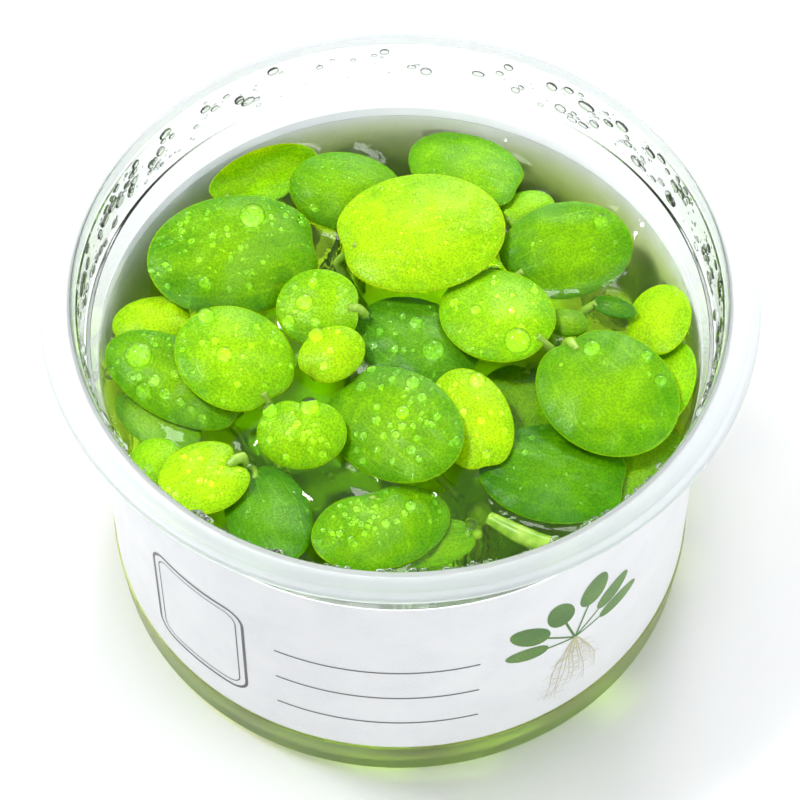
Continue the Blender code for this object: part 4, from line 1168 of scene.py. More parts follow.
class LeafPile:
    """All the leaves, lowered one by one onto those below, as in the model, and what they cover."""

    def __init__(self) -> None:
        """Settle every leaf and find every stalk's route."""
        self.tops = np.full((int(round(2 * RIM_RADIUS / MAP_CELL)),) * 2, -1.0)
        self.seats = {leaf.name: self.settle(leaf) for leaf in LEAVES}
        self.routes = self.stalk_routes()

    def dense(self, leaf: Leaf) -> tuple:
        """Many points over a blade, as (offset x, offset y, height, half thickness)."""
        across, angle = np.meshgrid(np.linspace(0.02, 1.0, 34), np.linspace(-math.pi, math.pi, 120))
        across, angle = across.ravel(), angle.ravel()
        return (*blade_points(leaf, across, angle), half_thickness(across))

    def cell_of(self, points: np.ndarray) -> np.ndarray:
        """Row and column of each point in the height map."""
        cells = np.floor((points[:, :2] + RIM_RADIUS) / MAP_CELL).astype(int)
        return np.clip(cells, 1, len(self.tops) - 2)

    def off_the_wall(self, leaf: Leaf, seat: Seat, dense: tuple) -> None:
        """Nudge a seat inwards until the leaf stays inside the cup."""
        limit = inner_radius(LEAF_LEVEL) * math.cos(math.pi / CUP_STEPS) - GAP - 0.1 * MM
        for _ in range(6):
            points = set_down(leaf, seat, *dense[:3])
            radius = np.hypot(points[:, 0], points[:, 1])
            worst = int(np.argmax(radius))
            if radius[worst] <= limit:
                return
            seat.nudge = seat.nudge - points[worst, :2] / radius[worst] * (radius[worst] - limit)

    def settle(self, leaf: Leaf) -> Seat:
        """Lower one leaf onto those already laid, leaning the way that lets it lie lowest.

        Args:
            leaf: the leaf.
        Returns:
            Its seat.
        """
        dense = self.dense(leaf)
        best, best_cost = None, math.inf
        for slope_x in SLOPES:
            for slope_y in SLOPES:
                seat = Seat(-leaf.sink * MM, slope_x, slope_y, np.zeros(2))
                for _ in range(3):
                    self.off_the_wall(leaf, seat, dense)
                    points = set_down(leaf, seat, *dense[:3])
                    cells = self.cell_of(points)
                    below = self.tops[cells[:, 0], cells[:, 1]]
                    short = (below + LEAF_GAP - (points[:, 2] - dense[3])).max()
                    seat.height += max(0.0, float(short))
                cost = seat.height + SLOPE_PRICE * (slope_x**2 + slope_y**2)
                if cost < best_cost:
                    best, best_cost = seat, cost
        points = set_down(leaf, best, *dense[:3])
        cells = self.cell_of(points)
        for row in (-1, 0, 1):
            for column in (-1, 0, 1):
                np.maximum.at(self.tops, (cells[:, 0] + row, cells[:, 1] + column), points[:, 2] + dense[3])
        return best

    def stalk_route(self, leaf: Leaf) -> np.ndarray:
        """From inside the blade's base, out of the notch, down and over to the plant's crown."""
        base = blade_points(leaf, np.array([0.80, 1.0]), np.array([math.pi, math.pi]))
        inner, edge = set_down(leaf, self.seats[leaf.name], *base)
        outward = (edge - inner) / max(np.linalg.norm(edge - inner), 1e-9)
        crown = np.array([*(value * MM for value in PLANTS[leaf.plant]), CROWN_Z])
        away = (crown - edge) * (1.0, 1.0, 0.0)
        side = away / max(np.linalg.norm(away), 1e-9)
        end = crown - side * (CROWN_RADIUS + PETIOLE_RADIUS + 0.5 * MM)
        span = np.linalg.norm(end - edge)
        first = edge + outward * 0.25 * span + np.array([0.0, 0.0, leaf.arch * MM - 0.30 * span])
        last = end + np.array([0.0, 0.0, 0.35 * span])
        return np.vstack([inner[None, :], bezier((edge, first, last, end), 60)])

    def clear_of(self, points: np.ndarray, others: np.ndarray, distance: float) -> int:
        """How many of these points, from the first, keep a distance from all the others."""
        for index, point in enumerate(points):
            if ((others - point) ** 2).sum(axis=1).min() < distance**2:
                return index
            if math.hypot(point[0], point[1]) > inner_radius(point[2]) - distance:
                return index
        return len(points)

    def skin(self, route: np.ndarray, radius: float) -> np.ndarray:
        """Points round the skin of a tube along a route."""
        turns = np.linspace(0, 2 * math.pi, 8, endpoint=False)
        rings = [route + np.array([radius * math.cos(a), radius * math.sin(a), 0.0]) for a in turns]
        return np.vstack([*rings, route - np.array([0.0, 0.0, radius])])

    def stalk_routes(self) -> dict[str, np.ndarray]:
        """Every stalk's route, cut short where it would meet something else.

        Returns:
            The routes by leaf name. A leaf whose stalk has no room isn't listed.
        """
        shells = {}
        for leaf in LEAVES:
            dense = self.dense(leaf)
            middle = set_down(leaf, self.seats[leaf.name], *dense[:3])
            half = dense[3][:, None] * np.array([0.0, 0.0, 1.0])
            shells[leaf.name] = np.vstack([middle - half, middle + half])
        taken = [self.tuft_points()]
        for name, points in RUNNERS.items():
            taken.append(self.skin(evenly(np.array(points) * MM, 40), RUNNER_RADII[name]))
        routes = {}
        for leaf in sorted(LEAVES, key=lambda each: -each.arch):
            route = self.stalk_route(leaf)
            others = np.vstack([shells[other.name][::3] for other in LEAVES if other is not leaf] + taken)
            free = self.clear_of(route[1:], others, PETIOLE_RADIUS + GAP + 0.25 * MM)
            kept = route[: free + 1]
            if free < 2 or np.linalg.norm(np.diff(kept, axis=0), axis=1).sum() < SHORTEST_PETIOLE:
                continue
            routes[leaf.name] = evenly(kept, PETIOLE_STEPS)
            taken.append(self.skin(evenly(routes[leaf.name], 60), PETIOLE_RADIUS))
        return routes

    def tuft_points(self) -> np.ndarray:
        """Points on the upper half of every root tuft, for clearances."""
        depth = ROOT_TOP_Z - TUFT_TIP_Z
        profile = np.array([
            (0.35 * CROWN_RADIUS, CROWN_Z + 1.4 * MM),
            (CROWN_RADIUS, CROWN_Z - 0.6 * MM),
            (0.75 * CROWN_RADIUS, ROOT_TOP_Z),
            (0.70 * TUFT_RADIUS, ROOT_TOP_Z - 0.16 * depth),
            (TUFT_RADIUS, ROOT_TOP_Z - 0.42 * depth),
        ])
        turns = np.linspace(0, 2 * math.pi, 16, endpoint=False)
        found = []
        for x, y in PLANTS.values():
            for radius, height in evenly(profile, 14):
                found.append(level_ring(radius, height, turns) + np.array([x * MM, y * MM, 0.0]))
        return np.vstack(found)


@dataclass
class Foliage:
    """The fine leaves: domed blades with round edges and slight waves, each with its stalk."""

    paints: Paints
    pile: LeafPile
    spokes: int = 96
    edge_start: float = 0.93
    wave: float = 0.11 * MM
    stalk_steps: int = 26
    runner_steps: int = 40
    runner_passes: int = 30

    def rings(self) -> np.ndarray:
        """Shares of the way to the edge at which rings stand, closer together on the rounded edge."""
        curve = self.edge_start + (1.0 - self.edge_start) * np.sin(np.radians(np.linspace(0, 90, 6)))
        return np.concatenate([np.linspace(0.0, self.edge_start, 18)[1:-1], curve])

    def waves(self, leaf: Leaf, dx: np.ndarray, dy: np.ndarray) -> np.ndarray:
        """A leaf's own soft unevenness, which differs from leaf to leaf."""
        rng = np.random.default_rng(LEAVES.index(leaf) + 11)
        total = 0.0 * dx
        for _ in range(4):
            way = rng.uniform(0, 2 * math.pi)
            size = rng.uniform(3.5, 9.0) * MM
            phase = rng.uniform(0, 2 * math.pi)
            total = total + np.sin((dx * math.cos(way) + dy * math.sin(way)) * 2 * math.pi / size + phase)
        return self.wave * total / 2.2

    def net(self, leaf: Leaf) -> tuple[np.ndarray, np.ndarray, np.ndarray, np.ndarray]:
        """A blade's middle surface on rings and spokes: points, half thickness, share across and angle."""
        rings = self.rings()
        across, angle = np.meshgrid(rings, np.linspace(-math.pi, math.pi, self.spokes, endpoint=False),
                                    indexing="ij")
        across = np.concatenate([[0.0], across.ravel()])
        angle = np.concatenate([[0.0], angle.ravel()])
        dx, dy, height = blade_points(leaf, across, angle)
        middle = set_down(leaf, self.pile.seats[leaf.name], dx, dy, height + self.waves(leaf, dx, dy))
        past = np.clip((across - self.edge_start) / (1.0 - self.edge_start), 0.0, 1.0)
        return middle, half_thickness(across) * np.sqrt(1.0 - past**2), across, angle

    def top_faces(self) -> list:
        """The faces of one side of a blade, seen from above."""
        return disc_faces(len(self.rings()), self.spokes)

    def build_leaf(self, leaf: Leaf) -> None:
        """One leaf with its stalk, in place of its solid."""
        middle, half, across, angle = self.net(leaf)
        up = half[:, None] * np.array([0.0, 0.0, 1.0])
        below_count = len(middle) - self.spokes
        points = np.vstack([middle + up, (middle - up)[:below_count]])
        faces = self.top_faces()
        edge_first = below_count
        under = []
        for face in faces:
            flipped = tuple(index if index >= edge_first else index + len(middle) for index in reversed(face))
            under.append(flipped)
        share = np.concatenate([across, across[:below_count]])
        turn = np.concatenate([angle, angle[:below_count]])
        below = np.concatenate([np.zeros(len(middle)), np.ones(below_count)])
        shape = Shape()
        shape.add(points, faces + under, 0, across=share, under=below,
                  map_u=0.5 + 0.5 * share * np.cos(turn), map_v=0.5 + 0.5 * share * np.sin(turn))
        route = self.pile.routes.get(leaf.name)
        if route is not None:
            swell = 0.12 * np.sin(np.linspace(0.0, math.pi, self.stalk_steps))
            slim = np.linspace(0.25, 0.0, self.stalk_steps) ** 2
            line = evenly(route, self.stalk_steps)
            shape.add(*tube(line, PETIOLE_RADIUS * (1.0 + swell - slim)), 1)
        finishes = [self.paints.leaves[leaf.tone], self.paints.stalk]
        shape.piece(leaf.name + "_fine", finishes, (leaf.name,), LEAF_SLOTS[leaf.tone])

    def build_runners(self) -> None:
        """The stalks between plants, softly bent and thinner towards their ends."""
        for name, points in RUNNERS.items():
            line = evenly(np.array(points) * MM, self.runner_steps)
            for _ in range(self.runner_passes):
                line[1:-1] = 0.5 * line[1:-1] + 0.25 * (line[:-2] + line[2:])
            along = np.linspace(0, 1, self.runner_steps)
            ends = np.interp(along, (0, 0.15, 0.3, 0.7, 0.85, 1), (0.7, 0.9, 1, 1, 0.9, 0.7))
            shape = Shape()
            shape.add(*tube(line, RUNNER_RADII[name] * ends, 20))
            shape.piece(name + "_stalk", [self.paints.stalk], (name,), "stalk")

    def build(self) -> None:
        """Make every leaf and runner."""
        for leaf in LEAVES:
            self.build_leaf(leaf)
        self.build_runners()


@dataclass
class Water:
    """The water: level in the open, drawn up at the wall and to the edges of floating leaves.

    A leaf holds it where its blade is within held_between of the level. It reaches a little into the
    cup's wall and floor, so that no air shows between them. half is half of the grid's width, and
    heights are what the grid holds, once it is built.
    """

    paints: Paints
    pile: LeafPile
    cell: float = 0.3 * MM
    wall_rise: float = 0.9 * MM
    reach: float = 2.0 * MM
    passes: int = 260
    held_between: tuple = (-0.8 * MM, 1.25 * MM)
    skin: float = 0.08 * MM
    into_wall: float = 0.03 * MM
    wall_taper: float = 0.0247
    bottom: float = FLOOR_Z - 0.02 * MM
    rings: int = 118
    sides: int = 384
    half: float = 0.0
    heights: np.ndarray | None = None

    def surface(self) -> tuple[float, np.ndarray]:
        """The water's height on a square grid, as a skin stretched between what it wets.

        Returns:
            Half of the grid's width, and the heights by row along X and column along Y, in metres.
        """
        half = inner_radius(WATER_LEVEL) + 2 * self.cell
        count = int(2 * half / self.cell)
        pinned = np.full((count, count), np.nan)
        lowest, highest = self.held_between
        across, angle = np.meshgrid(np.linspace(0.0, 1.0, 90), np.linspace(-math.pi, math.pi, 420))
        for leaf in LEAVES:
            blade = blade_points(leaf, across.ravel(), angle.ravel())
            points = set_down(leaf, self.pile.seats[leaf.name], *blade)
            held = (points[:, 2] > WATER_LEVEL + lowest) & (points[:, 2] < WATER_LEVEL + highest)
            cells = np.clip(((points[held, :2] + half) / self.cell).astype(int), 0, count - 1)
            pinned[cells[:, 0], cells[:, 1]] = points[held, 2] - self.skin
        middles = (np.arange(count) + 0.5) * self.cell - half
        radius = np.hypot(*np.meshgrid(middles, middles, indexing="ij"))
        pinned[radius > inner_radius(WATER_LEVEL) - 0.5 * self.cell] = WATER_LEVEL + self.wall_rise
        free = np.isnan(pinned)
        heights = np.where(free, WATER_LEVEL, pinned)
        pull = (self.cell / self.reach) ** 2
        for _ in range(self.passes):
            mean = 0.25 * (np.roll(heights, 1, 0) + np.roll(heights, -1, 0)
                           + np.roll(heights, 1, 1) + np.roll(heights, -1, 1))
            heights = np.where(free, (4 * mean + pull * WATER_LEVEL) / (4 + pull), pinned)
        return half, heights

    def height_at(self, x: np.ndarray, y: np.ndarray) -> np.ndarray:
        """The water's height over a place, read smoothly from the grid."""
        across = np.clip((x + self.half) / self.cell - 0.5, 0, len(self.heights) - 1.001)
        along = np.clip((y + self.half) / self.cell - 0.5, 0, len(self.heights) - 1.001)
        i, j = across.astype(int), along.astype(int)
        u, v = across - i, along - j
        h = self.heights
        return ((1 - u) * (1 - v) * h[i, j] + u * (1 - v) * h[i + 1, j]
                + (1 - u) * v * h[i, j + 1] + u * v * h[i + 1, j + 1])

    def build(self) -> None:
        """The whole body of water, from its surface to the cup's floor."""
        self.half, self.heights = self.surface()
        edge = inner_radius(WATER_LEVEL) + self.into_wall
        turns = np.linspace(0.0, 2 * math.pi, self.sides, endpoint=False)
        rows = []
        for radius in (*np.linspace(0.0, edge, self.rings + 1)[1:-1], edge - self.skin, edge):
            x, y = radius * np.cos(turns), radius * np.sin(turns)
            rows.append(np.column_stack([x, y, self.height_at(x, y)]))
        for drop in (self.skin, 0.3 * MM):
            lower = rows[self.rings].copy()
            lower[:, 2] -= drop
            lower[:, :2] *= (1.0 - self.wall_taper * drop / edge)
            rows.append(lower)
        wall = [(inner_radius(z * MM) + self.into_wall, z * MM) for z in (46.0, 24.0, 5.0, 4.3)]
        wall += [(45.5 * MM, 3.4 * MM), (44.9 * MM, 2.5 * MM), (44.1 * MM, 1.95 * MM),
                 (43.0 * MM, self.bottom), (42.0 * MM, self.bottom)]
        below = [level_ring(radius, height, turns) for radius, height in wall]
        net = rows + below
        centre_top = np.array([[0.0, 0.0, float(self.height_at(np.zeros(1), np.zeros(1))[0])]])
        centre_low = np.array([[0.0, 0.0, self.bottom]])
        faces = turn_faces(len(net), self.sides)
        top, low = len(net) * self.sides, len(net) * self.sides + 1
        last = (len(net) - 1) * self.sides
        faces += [(top, i, (i + 1) % self.sides) for i in range(self.sides)]
        faces += [(low, last + (i + 1) % self.sides, last + i) for i in range(self.sides)]
        shape = Shape()
        shape.add(np.vstack([*net, centre_top, centre_low]), faces)
        shape.piece("water_body", [self.paints.water], ("water",), "water")


def bead_tree(name: str, finish: bpy.types.Material, segments: int, rings: int) -> bpy.types.NodeTree:
    """The tree that scatters beads over a surface.

    Args:
        name: the tree's name.
        finish: the beads' material.
        segments: faces round each bead.
        rings: faces up each bead.
    Returns:
        The tree. Its inputs are the surface, the spacing, the density, the sizes, the flatness and a seed.
    """
    number = "NodeSocketFloat"
    tree, given, result = group(
        name,
        {"Geometry": "NodeSocketGeometry", "Spacing": number, "Density": number, "Smallest": number,
         "Largest": number, "Flatness": number, "Stretch": number, "Seed": "NodeSocketInt"},
        {"Geometry": "NodeSocketGeometry"},
        "GeometryNodeTree",
    )
    nodes = Nodes(tree)
    amount = nodes.add("GeometryNodeInputNamedAttribute", {"Name": "wet"}, data_type="FLOAT")
    scatter = nodes.node("GeometryNodeDistributePointsOnFaces", {
        "Mesh": given.outputs["Geometry"], "Distance Min": given.outputs["Spacing"],
        "Density Max": given.outputs["Density"], "Density Factor": amount, "Seed": given.outputs["Seed"],
    }, distribute_method="POISSON")
    ball = nodes.add("GeometryNodeMeshUVSphere", {"Segments": segments, "Rings": rings, "Radius": 1.0})
    spot = nodes.node("ShaderNodeSeparateXYZ", {0: nodes.add("GeometryNodeInputPosition")})
    raised = nodes.math("ADD", spot.outputs[2], 0.35)
    height = nodes.math("MAXIMUM", nodes.math("MULTIPLY", raised, given.outputs["Flatness"]), -0.12)
    flat = nodes.add("ShaderNodeCombineXYZ", {0: spot.outputs[0], 1: spot.outputs[1], 2: height})
    ball = nodes.add("GeometryNodeSetPosition", {"Geometry": ball, "Position": flat})
    ball = nodes.add("GeometryNodeSetShadeSmooth", {0: ball})
    chance = nodes.add("FunctionNodeRandomValue", {2: 0.0, 3: 1.0, 8: 7}, 1, data_type="FLOAT")
    more = nodes.math("SUBTRACT", given.outputs["Largest"], given.outputs["Smallest"])
    more = nodes.math("MULTIPLY", nodes.math("POWER", chance, FEW_LARGE), more)
    size = nodes.math("ADD", given.outputs["Smallest"], more)
    longer = nodes.add("FunctionNodeRandomValue", {2: 1.0, 3: given.outputs["Stretch"], 8: 3}, 1,
                       data_type="FLOAT")
    scale = nodes.add("ShaderNodeCombineXYZ", {0: nodes.math("MULTIPLY", size, longer), 1: size, 2: size})
    put = nodes.add("GeometryNodeInstanceOnPoints", {
        "Points": scatter.outputs["Points"], "Instance": ball,
        "Rotation": scatter.outputs["Rotation"], "Scale": scale})
    real = nodes.add("GeometryNodeRealizeInstances", {0: put})
    done = nodes.add("GeometryNodeSetMaterial", {"Geometry": real, "Material": finish})
    nodes.feed(result.inputs["Geometry"], done)
    return tree


@dataclass
class Beads:
    """Water on the leaves: large beads where the photograph shows them, and fine ones scattered round.

    A bead that is broader than broad_from, in the photograph's pixels, stands higher for its width.
    """

    paints: Paints
    pile: LeafPile
    foliage: Foliage
    water: Water
    segments: int = 20
    rings: int = 12
    raised: float = 0.42
    sunk: float = 0.14 * MM
    broad_from: int = 12
    broad_height: float = 0.82
    small_height: float = 0.74

    def sight(self, px: float, py: float) -> Vector:
        """The direction from the eye through a pixel of the photograph."""
        forward = np.array([0.0, math.cos(PITCH), -math.sin(PITCH)])
        up = np.array([0.0, math.sin(PITCH), math.cos(PITCH)])
        middle = FRAME_PX / 2
        way = forward * FOCAL_PX + np.array([px - middle, 0.0, 0.0]) - up * (py - middle)
        return Vector(way).normalized()

    def dome(self, spot: Vector, normal: Vector, radius: float, height: float) -> tuple[np.ndarray, list]:
        """A bead's closed dome on a surface.

        Args:
            spot: where its middle touches.
            normal: the way that it stands.
            radius: its radius at its widest.
            height: its roundness, 1 for a ball.
        Returns:
            The vertices and the faces.
        """
        levels = np.linspace(math.pi / 2, -math.pi / 2, self.rings + 1)[1:-1]
        profile = [(0.0, 1.0)] + [(math.cos(a), math.sin(a)) for a in levels] + [(0.0, -1.0)]
        local, faces = turned(profile, self.segments)
        local[:, 2] = np.maximum((local[:, 2] + self.raised) * height, -self.sunk / radius)
        side = normal.orthogonal().normalized()
        basis = np.array([side, normal.cross(side), normal])
        return np.array(spot) + (local * radius) @ basis, faces

    def build_large(self) -> list:
        """The beads that the photograph shows one by one.

        Returns:
            Where each is and its radius.
        """
        shape, spots = Shape(), []
        faces = self.foliage.top_faces()
        for leaf in LEAVES:
            if leaf.name not in LARGE_BEADS:
                continue
            middle, half, _, _ = self.foliage.net(leaf)
            tree = BVHTree.FromPolygons((middle + half[:, None] * (0, 0, 1)).tolist(), faces)
            for px, py, wide in LARGE_BEADS[leaf.name]:
                spot, normal, _, distance = tree.ray_cast(Vector(EYE), self.sight(px, py))
                if spot is None:
                    LOG.info("no leaf under a bead of %s at %d, %d", leaf.name, px, py)
                    continue
                radius = 0.5 * wide / FOCAL_PX * distance
                height = self.broad_height if wide > self.broad_from else self.small_height
                shape.add(*self.dome(spot, normal, radius, height))
                spots.append((*spot, radius))
        shape.piece("beads_large", [self.paints.bead], (), "water")
        return spots

    def build_bubbles(self) -> None:
        """Air bubbles that stand in the water's surface."""
        shape = Shape()
        for px, py, wide in BUBBLES:
            way = self.sight(px, py)
            distance = (WATER_LEVEL + 0.3 * MM - EYE[2]) / way.z
            spot = Vector(EYE) + way * distance
            spot.z = float(self.water.height_at(np.array([spot.x]), np.array([spot.y]))[0])
            radius = 0.5 * wide / FOCAL_PX * distance
            shape.add(*self.dome(spot, Vector((0, 0, 1)), radius, 0.9))
        shape.piece("air_bubbles", [self.paints.bubble], (), "water")

    def build_fine(self, large: list) -> None:
        """Fine beads, scattered on each plant's leaves where nothing covers them."""
        tree = bead_tree("leaf beads", self.paints.bead, 8, 5)
        spots = np.array(large)
        faces = self.foliage.top_faces()
        for plant in PLANTS:
            meshes = []
            for leaf in (each for each in LEAVES if each.plant == plant and each.wet is not Wetness.DRY):
                middle, half, across, _ = self.foliage.net(leaf)
                top = middle + half[:, None] * (0, 0, 1)
                cells = self.pile.cell_of(top)
                open_above = self.pile.tops[cells[:, 0], cells[:, 1]] < top[:, 2] + 0.35 * MM
                apart = np.linalg.norm(top[:, None, :] - spots[None, :, :3], axis=2) - spots[:, 3] * 1.25
                wave = np.sin(top[:, 0] * 410 + LEAVES.index(leaf)) * np.sin(top[:, 1] * 350 + leaf.x)
                damp = np.clip(0.65 + 0.6 * wave, 0, 1)
                wet = open_above * (apart.min(axis=1) > 0.0) * (across < 0.97) * damp
                density, smallest, largest = leaf.wet.value
                carrier = guide("bead guide", top, faces, {"wet": wet})
                meshes.append(grown(carrier, tree, {
                    "Spacing": 2.1 * smallest, "Density": density, "Smallest": smallest, "Largest": largest,
                    "Flatness": 0.72, "Stretch": 1.12, "Seed": LEAVES.index(leaf) + 3}))
            joined = Shape()
            for mesh in meshes:
                points = np.empty(len(mesh.vertices) * 3)
                mesh.vertices.foreach_get("co", points)
                joined.add(points.reshape(-1, 3), [tuple(face.vertices) for face in mesh.polygons])
            if joined.count:
                joined.piece("beads_fine_" + plant, [self.paints.bead], (), "water")

    def build(self) -> None:
        """Place the large beads, the bubbles, then the fine beads between them."""
        large = self.build_large()
        self.build_bubbles()
        self.build_fine(large)


@dataclass
class Condensation:
    """Fine drops on the cup's inside above the water, denser on some stretches, and along the mouth."""

    paints: Paints

    def band(self, low: float, high: float, start: float, end: float, inwards: float) -> tuple:
        """A stretch of the inner wall facing inwards: points, faces, turns in degrees and heights."""
        turns = np.radians(np.linspace(start, end, int(abs(end - start)) + 2))
        heights = np.linspace(low, high, 8)
        grid_turn, grid_z = np.meshgrid(turns, heights, indexing="ij")
        radius = inner_radius(grid_z) - inwards
        points = np.column_stack([(radius * np.cos(grid_turn)).ravel(), (radius * np.sin(grid_turn)).ravel(),
                                  grid_z.ravel()])
        faces = []
        for i in range(len(turns) - 1):
            for j in range(len(heights) - 1):
                a = i * len(heights) + j
                faces.append((a, a + 1, a + len(heights) + 1, a + len(heights)))
        return points, faces, np.degrees(grid_turn).ravel(), grid_z.ravel()

    def build(self) -> None:
        """Scatter the drops."""
        tree = bead_tree("wall drops", self.paints.bead, 9, 5)
        points, faces, turns, heights = self.band(
            LEDGE_Z + 0.5 * MM, MOUTH_CHAMFER_Z - 0.2 * MM, -30, 210, 0.01 * MM)
        around = np.radians(turns)
        clumps = 0.5 + 0.5 * np.sin(around * 9 + heights * 700) * np.sin(around * 23 + 1)
        sides = np.clip((np.abs(turns - 90) - 18) / 25, 0.0, 1.0)
        wet = np.clip(clumps * 1.3 - 0.25, 0, 1) * (0.15 + 0.85 * sides)
        mesh = grown(guide("wall guide", points, faces, {"wet": wet}), tree, {
            "Spacing": 0.35 * MM, "Density": 1.1e6, "Smallest": 0.14 * MM, "Largest": 0.95 * MM,
            "Flatness": 0.35, "Stretch": 1.9, "Seed": 21})
        finished("condensation_wall", mesh, ())
        points, faces, turns, _ = self.band(
            CUP_HEIGHT - 2.2 * MM, CUP_HEIGHT - 0.9 * MM, -172, -8, -0.30 * MM)
        wet = np.clip(0.55 + 0.5 * np.sin(np.radians(turns) * 31), 0.1, 1.0)
        mesh = grown(guide("mouth guide", points, faces, {"wet": wet}), tree, {
            "Spacing": 0.30 * MM, "Density": 2.0e6, "Smallest": 0.16 * MM, "Largest": 0.75 * MM,
            "Flatness": 0.8, "Stretch": 1.3, "Seed": 4})
        finished("condensation_mouth", mesh, ())


def root_tree(finish: bpy.types.Material) -> bpy.types.NodeTree:
    """The tree that turns guide lines into feathery roots: a thin core with fine hairs all round.

    Args:
        finish: the roots' material.
    Returns:
        The tree. Its inputs are the lines, the core's radius, the hairs' length and spacing, and a seed.
    """
    number = "NodeSocketFloat"
    tree, given, result = group(
        "feathery roots",
        {"Geometry": "NodeSocketGeometry", "Core radius": number, "Hair length": number,
         "Hair spacing": number, "Seed": "NodeSocketInt"},
        {"Geometry": "NodeSocketGeometry"},
        "GeometryNodeTree",
    )
    nodes = Nodes(tree)
    lines = nodes.add("GeometryNodeMeshToCurve", {0: given.outputs["Geometry"]})
    ring = nodes.add("GeometryNodeCurvePrimitiveCircle", {
        "Resolution": 5, "Radius": given.outputs["Core radius"]})
    core = nodes.add("GeometryNodeCurveToMesh", {"Curve": lines, "Profile Curve": ring, "Fill Caps": True})
    along = nodes.node("GeometryNodeCurveToPoints", {
        "Curve": lines, "Length": given.outputs["Hair spacing"]}, mode="LENGTH")
    hair = nodes.add("GeometryNodeMeshCone", {
        "Vertices": 3, "Side Segments": 1, "Radius Top": 0.0, "Radius Bottom": 0.022, "Depth": 1.0})
    turn = nodes.add("FunctionNodeRandomValue", {2: 0.0, 3: 2 * math.pi, 8: given.outputs["Seed"]}, 1,
                     data_type="FLOAT")
    lean = nodes.add("FunctionNodeRandomValue", {2: 1.15, 3: 1.75, 8: 5}, 1, data_type="FLOAT")
    length = nodes.add("FunctionNodeRandomValue", {2: 0.55, 3: 1.0, 8: 9}, 1, data_type="FLOAT")
    put = nodes.add("GeometryNodeInstanceOnPoints", {
        "Points": along.outputs["Points"], "Instance": hair, "Rotation": along.outputs["Rotation"],
        "Scale": nodes.math("MULTIPLY", length, given.outputs["Hair length"])})
    spun = nodes.add("GeometryNodeRotateInstances", {
        "Instances": put, "Rotation": nodes.add("ShaderNodeCombineXYZ", {0: lean, 1: 0.0, 2: turn}),
        "Local Space": True})
    both = tree.nodes.new("GeometryNodeJoinGeometry")
    nodes.feed(both.inputs[0], core)
    nodes.feed(both.inputs[0], nodes.add("GeometryNodeRealizeInstances", {0: spun}))
    smooth = nodes.add("GeometryNodeSetShadeSmooth", {0: both.outputs[0]})
    nodes.feed(result.inputs["Geometry"],
               nodes.add("GeometryNodeSetMaterial", {"Geometry": smooth, "Material": finish}))
    return tree


@dataclass
class Roots:
    """Each plant's crown and the feathery roots that hang from it nearly to the cup's floor."""

    paints: Paints
    roots: int = 24
    steps: int = 18

    def lines(self, x: float, y: float, seed: int) -> tuple[np.ndarray, list]:
        """Guide lines inside the form of the model's root mass.

        Args:
            x: the crown's place, in metres.
            y: the crown's place, in metres.
            seed: what sets this plant's own spread.
        Returns:
            The points and the edges between them.
        """
        rng = np.random.default_rng(seed)
        down = np.linspace(0.0, 1.0, self.steps)
        form = np.interp(down, (0, 0.16, 0.42, 0.70, 0.92, 1.0), (0.30, 0.70, 1.0, 0.82, 0.42, 0.2))
        points, edges = [], []
        for root in range(self.roots):
            turn = 2 * math.pi * (root + rng.uniform(-0.3, 0.3)) / self.roots * 2.0
            share = math.sqrt(rng.uniform(0.05, 0.85))
            reach = 1.0 if root == 0 else rng.uniform(0.72, 1.0)
            twist = turn + rng.uniform(-0.6, 0.6) * down + 0.16 * np.sin(down * rng.uniform(6, 11))
            radius = share * form * (TUFT_RADIUS - 0.6 * MM)
            line = np.column_stack([x + radius * np.cos(twist), y + radius * np.sin(twist),
                                    ROOT_TOP_Z - down * reach * (ROOT_TOP_Z - TUFT_TIP_Z)])
            first = len(points) * self.steps
            edges += [(first + i, first + i + 1) for i in range(self.steps - 1)]
            points.append(line)
        return np.vstack(points), edges

    def crown(self, x: float, y: float) -> Shape:
        """The crown: a rounded heart with five shallow folds."""
        shape = Shape()
        profile = [(0.0, CROWN_Z + 1.6 * MM), (0.35 * CROWN_RADIUS, CROWN_Z + 1.4 * MM),
                   (CROWN_RADIUS, CROWN_Z - 0.6 * MM), (0.75 * CROWN_RADIUS, ROOT_TOP_Z),
                   (0.0, ROOT_TOP_Z - 0.8 * MM)]
        points, faces = turned(rounded(profile, 0.7 * MM, 4), 24)
        turn = np.arctan2(points[:, 1], points[:, 0])
        points[:, :2] *= (1.0 - 0.07 * np.abs(np.sin(2.5 * turn)))[:, None]
        shape.add(points + np.array([x, y, 0.0]), faces)
        return shape

    def build(self) -> None:
        """Make each plant's roots, then its crown."""
        tree = root_tree(self.paints.root)
        for seed, (plant, (x, y)) in enumerate(PLANTS.items()):
            points, edges = self.lines(x * MM, y * MM, seed + 40)
            grown_mesh = grown(guide("root guide", points, [], edges=edges), tree, {
                "Core radius": 0.16 * MM, "Hair length": 1.7 * MM, "Hair spacing": 0.42 * MM, "Seed": seed})
            finished("roots_" + plant + "_feathery", grown_mesh, ("roots_" + plant,))
            self.crown(x * MM, y * MM).piece("crown_" + plant, [self.paints.stalk], (), "stalk")


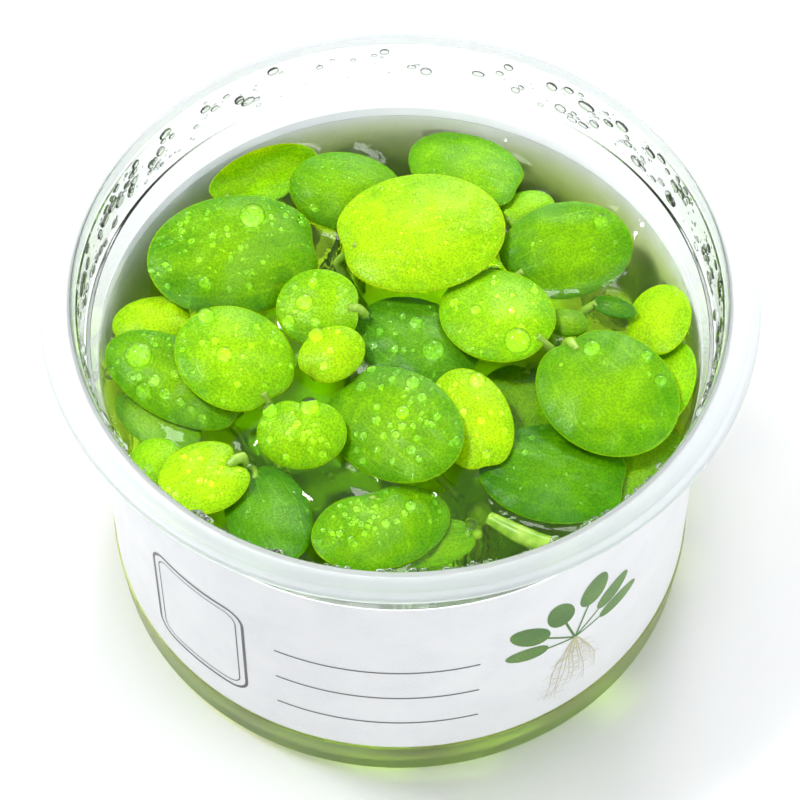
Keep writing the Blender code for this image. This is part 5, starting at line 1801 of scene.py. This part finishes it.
@dataclass
class Studio:
    """A plain pale floor, soft light and a camera where the photograph was taken from."""

    floor_size: float = 3.0
    floor_drop: float = 0.0002
    lamps: tuple = (
        ("lamp above left", (-0.35, 0.10, 0.75), 0.12, 3.0),
        ("lamp behind", (0.15, 0.75, 0.55), 0.30, 2.6),
        ("lamp right", (0.60, -0.25, 0.45), 0.35, 0.9),
    )
    surround_strength: float = 0.82
    aim: tuple = (0.0, 0.0, 0.04)

    def build_floor(self) -> None:
        """The floor, a hair under the cup's foot."""
        half = self.floor_size / 2
        mesh = bpy.data.meshes.new("floor")
        mesh.from_pydata([(-half, -half, 0), (half, -half, 0), (half, half, 0), (-half, half, 0)], [],
                         [(0, 1, 2, 3)])
        made = bpy.data.materials.new("pale floor")
        made.use_nodes = True
        shader = made.node_tree.nodes["Principled BSDF"]
        shader.inputs["Base Color"].default_value = (0.93, 0.93, 0.93, 1.0)
        shader.inputs["Roughness"].default_value = 0.6
        shader.inputs["Specular IOR Level"].default_value = 0.2
        mesh.materials.append(made)
        floor = bpy.data.objects.new("floor", mesh)
        floor.location.z = -self.floor_drop
        bpy.context.scene.collection.objects.link(floor)

    def lamp(self, name: str, spot: tuple, size: float, watts: float) -> None:
        """A square soft lamp that faces the plants."""
        data = bpy.data.lights.new(name, "AREA")
        data.size = size
        data.energy = watts
        obj = bpy.data.objects.new(name, data)
        obj.location = spot
        obj.rotation_euler = (Vector(self.aim) - Vector(spot)).to_track_quat("-Z", "Y").to_euler()
        bpy.context.scene.collection.objects.link(obj)

    def build_light(self) -> None:
        """A white surround and three soft lamps."""
        world = bpy.data.worlds.new("studio")
        bpy.context.scene.world = world
        world.use_nodes = True
        nodes = Nodes(world.node_tree)
        way = nodes.add("ShaderNodeTexCoord", out="Generated")
        parts = nodes.node("ShaderNodeSeparateXYZ", {0: way})
        shade = nodes.blend(nodes.spread(parts.outputs[2], 0.0, 0.75), (0.95, 0.96, 0.98), (0.72, 0.74, 0.76))
        surround = world.node_tree.nodes["Background"]
        nodes.feed(surround.inputs["Color"], shade)
        surround.inputs["Strength"].default_value = self.surround_strength
        for lamp in self.lamps:
            self.lamp(*lamp)

    def build_camera(self) -> None:
        """The photograph's own view."""
        data = bpy.data.cameras.new("camera")
        data.sensor_width = SENSOR_MM
        data.lens = SENSOR_MM * FOCAL_PX / FRAME_PX
        data.clip_start = 0.01
        camera = bpy.data.objects.new("camera", data)
        camera.location = EYE
        camera.rotation_euler = (math.pi / 2 - PITCH, 0.0, 0.0)
        bpy.context.scene.collection.objects.link(camera)
        bpy.context.scene.camera = camera

    def build(self) -> None:
        """Set up the whole studio."""
        self.build_camera()
        self.build_floor()
        self.build_light()
        scene = bpy.context.scene
        scene.view_settings.view_transform = "Standard"
        scene.cycles.transparent_max_bounces = 24
        scene.cycles.max_bounces = 10
        scene.cycles.diffuse_bounces = 3


def main() -> None:
    """Build every sub-assembly in order."""
    logging.basicConfig(level=logging.INFO, format="%(message)s")
    Studio().build()
    paints = Paints()
    Cup(paints).build()
    Wrap(paints).build()
    pile = LeafPile()
    foliage = Foliage(paints, pile)
    foliage.build()
    water = Water(paints, pile)
    water.build()
    Beads(paints, pile, foliage, water).build()
    Condensation(paints).build()
    Roots(paints).build()


if __name__ == "__main__":
    main()
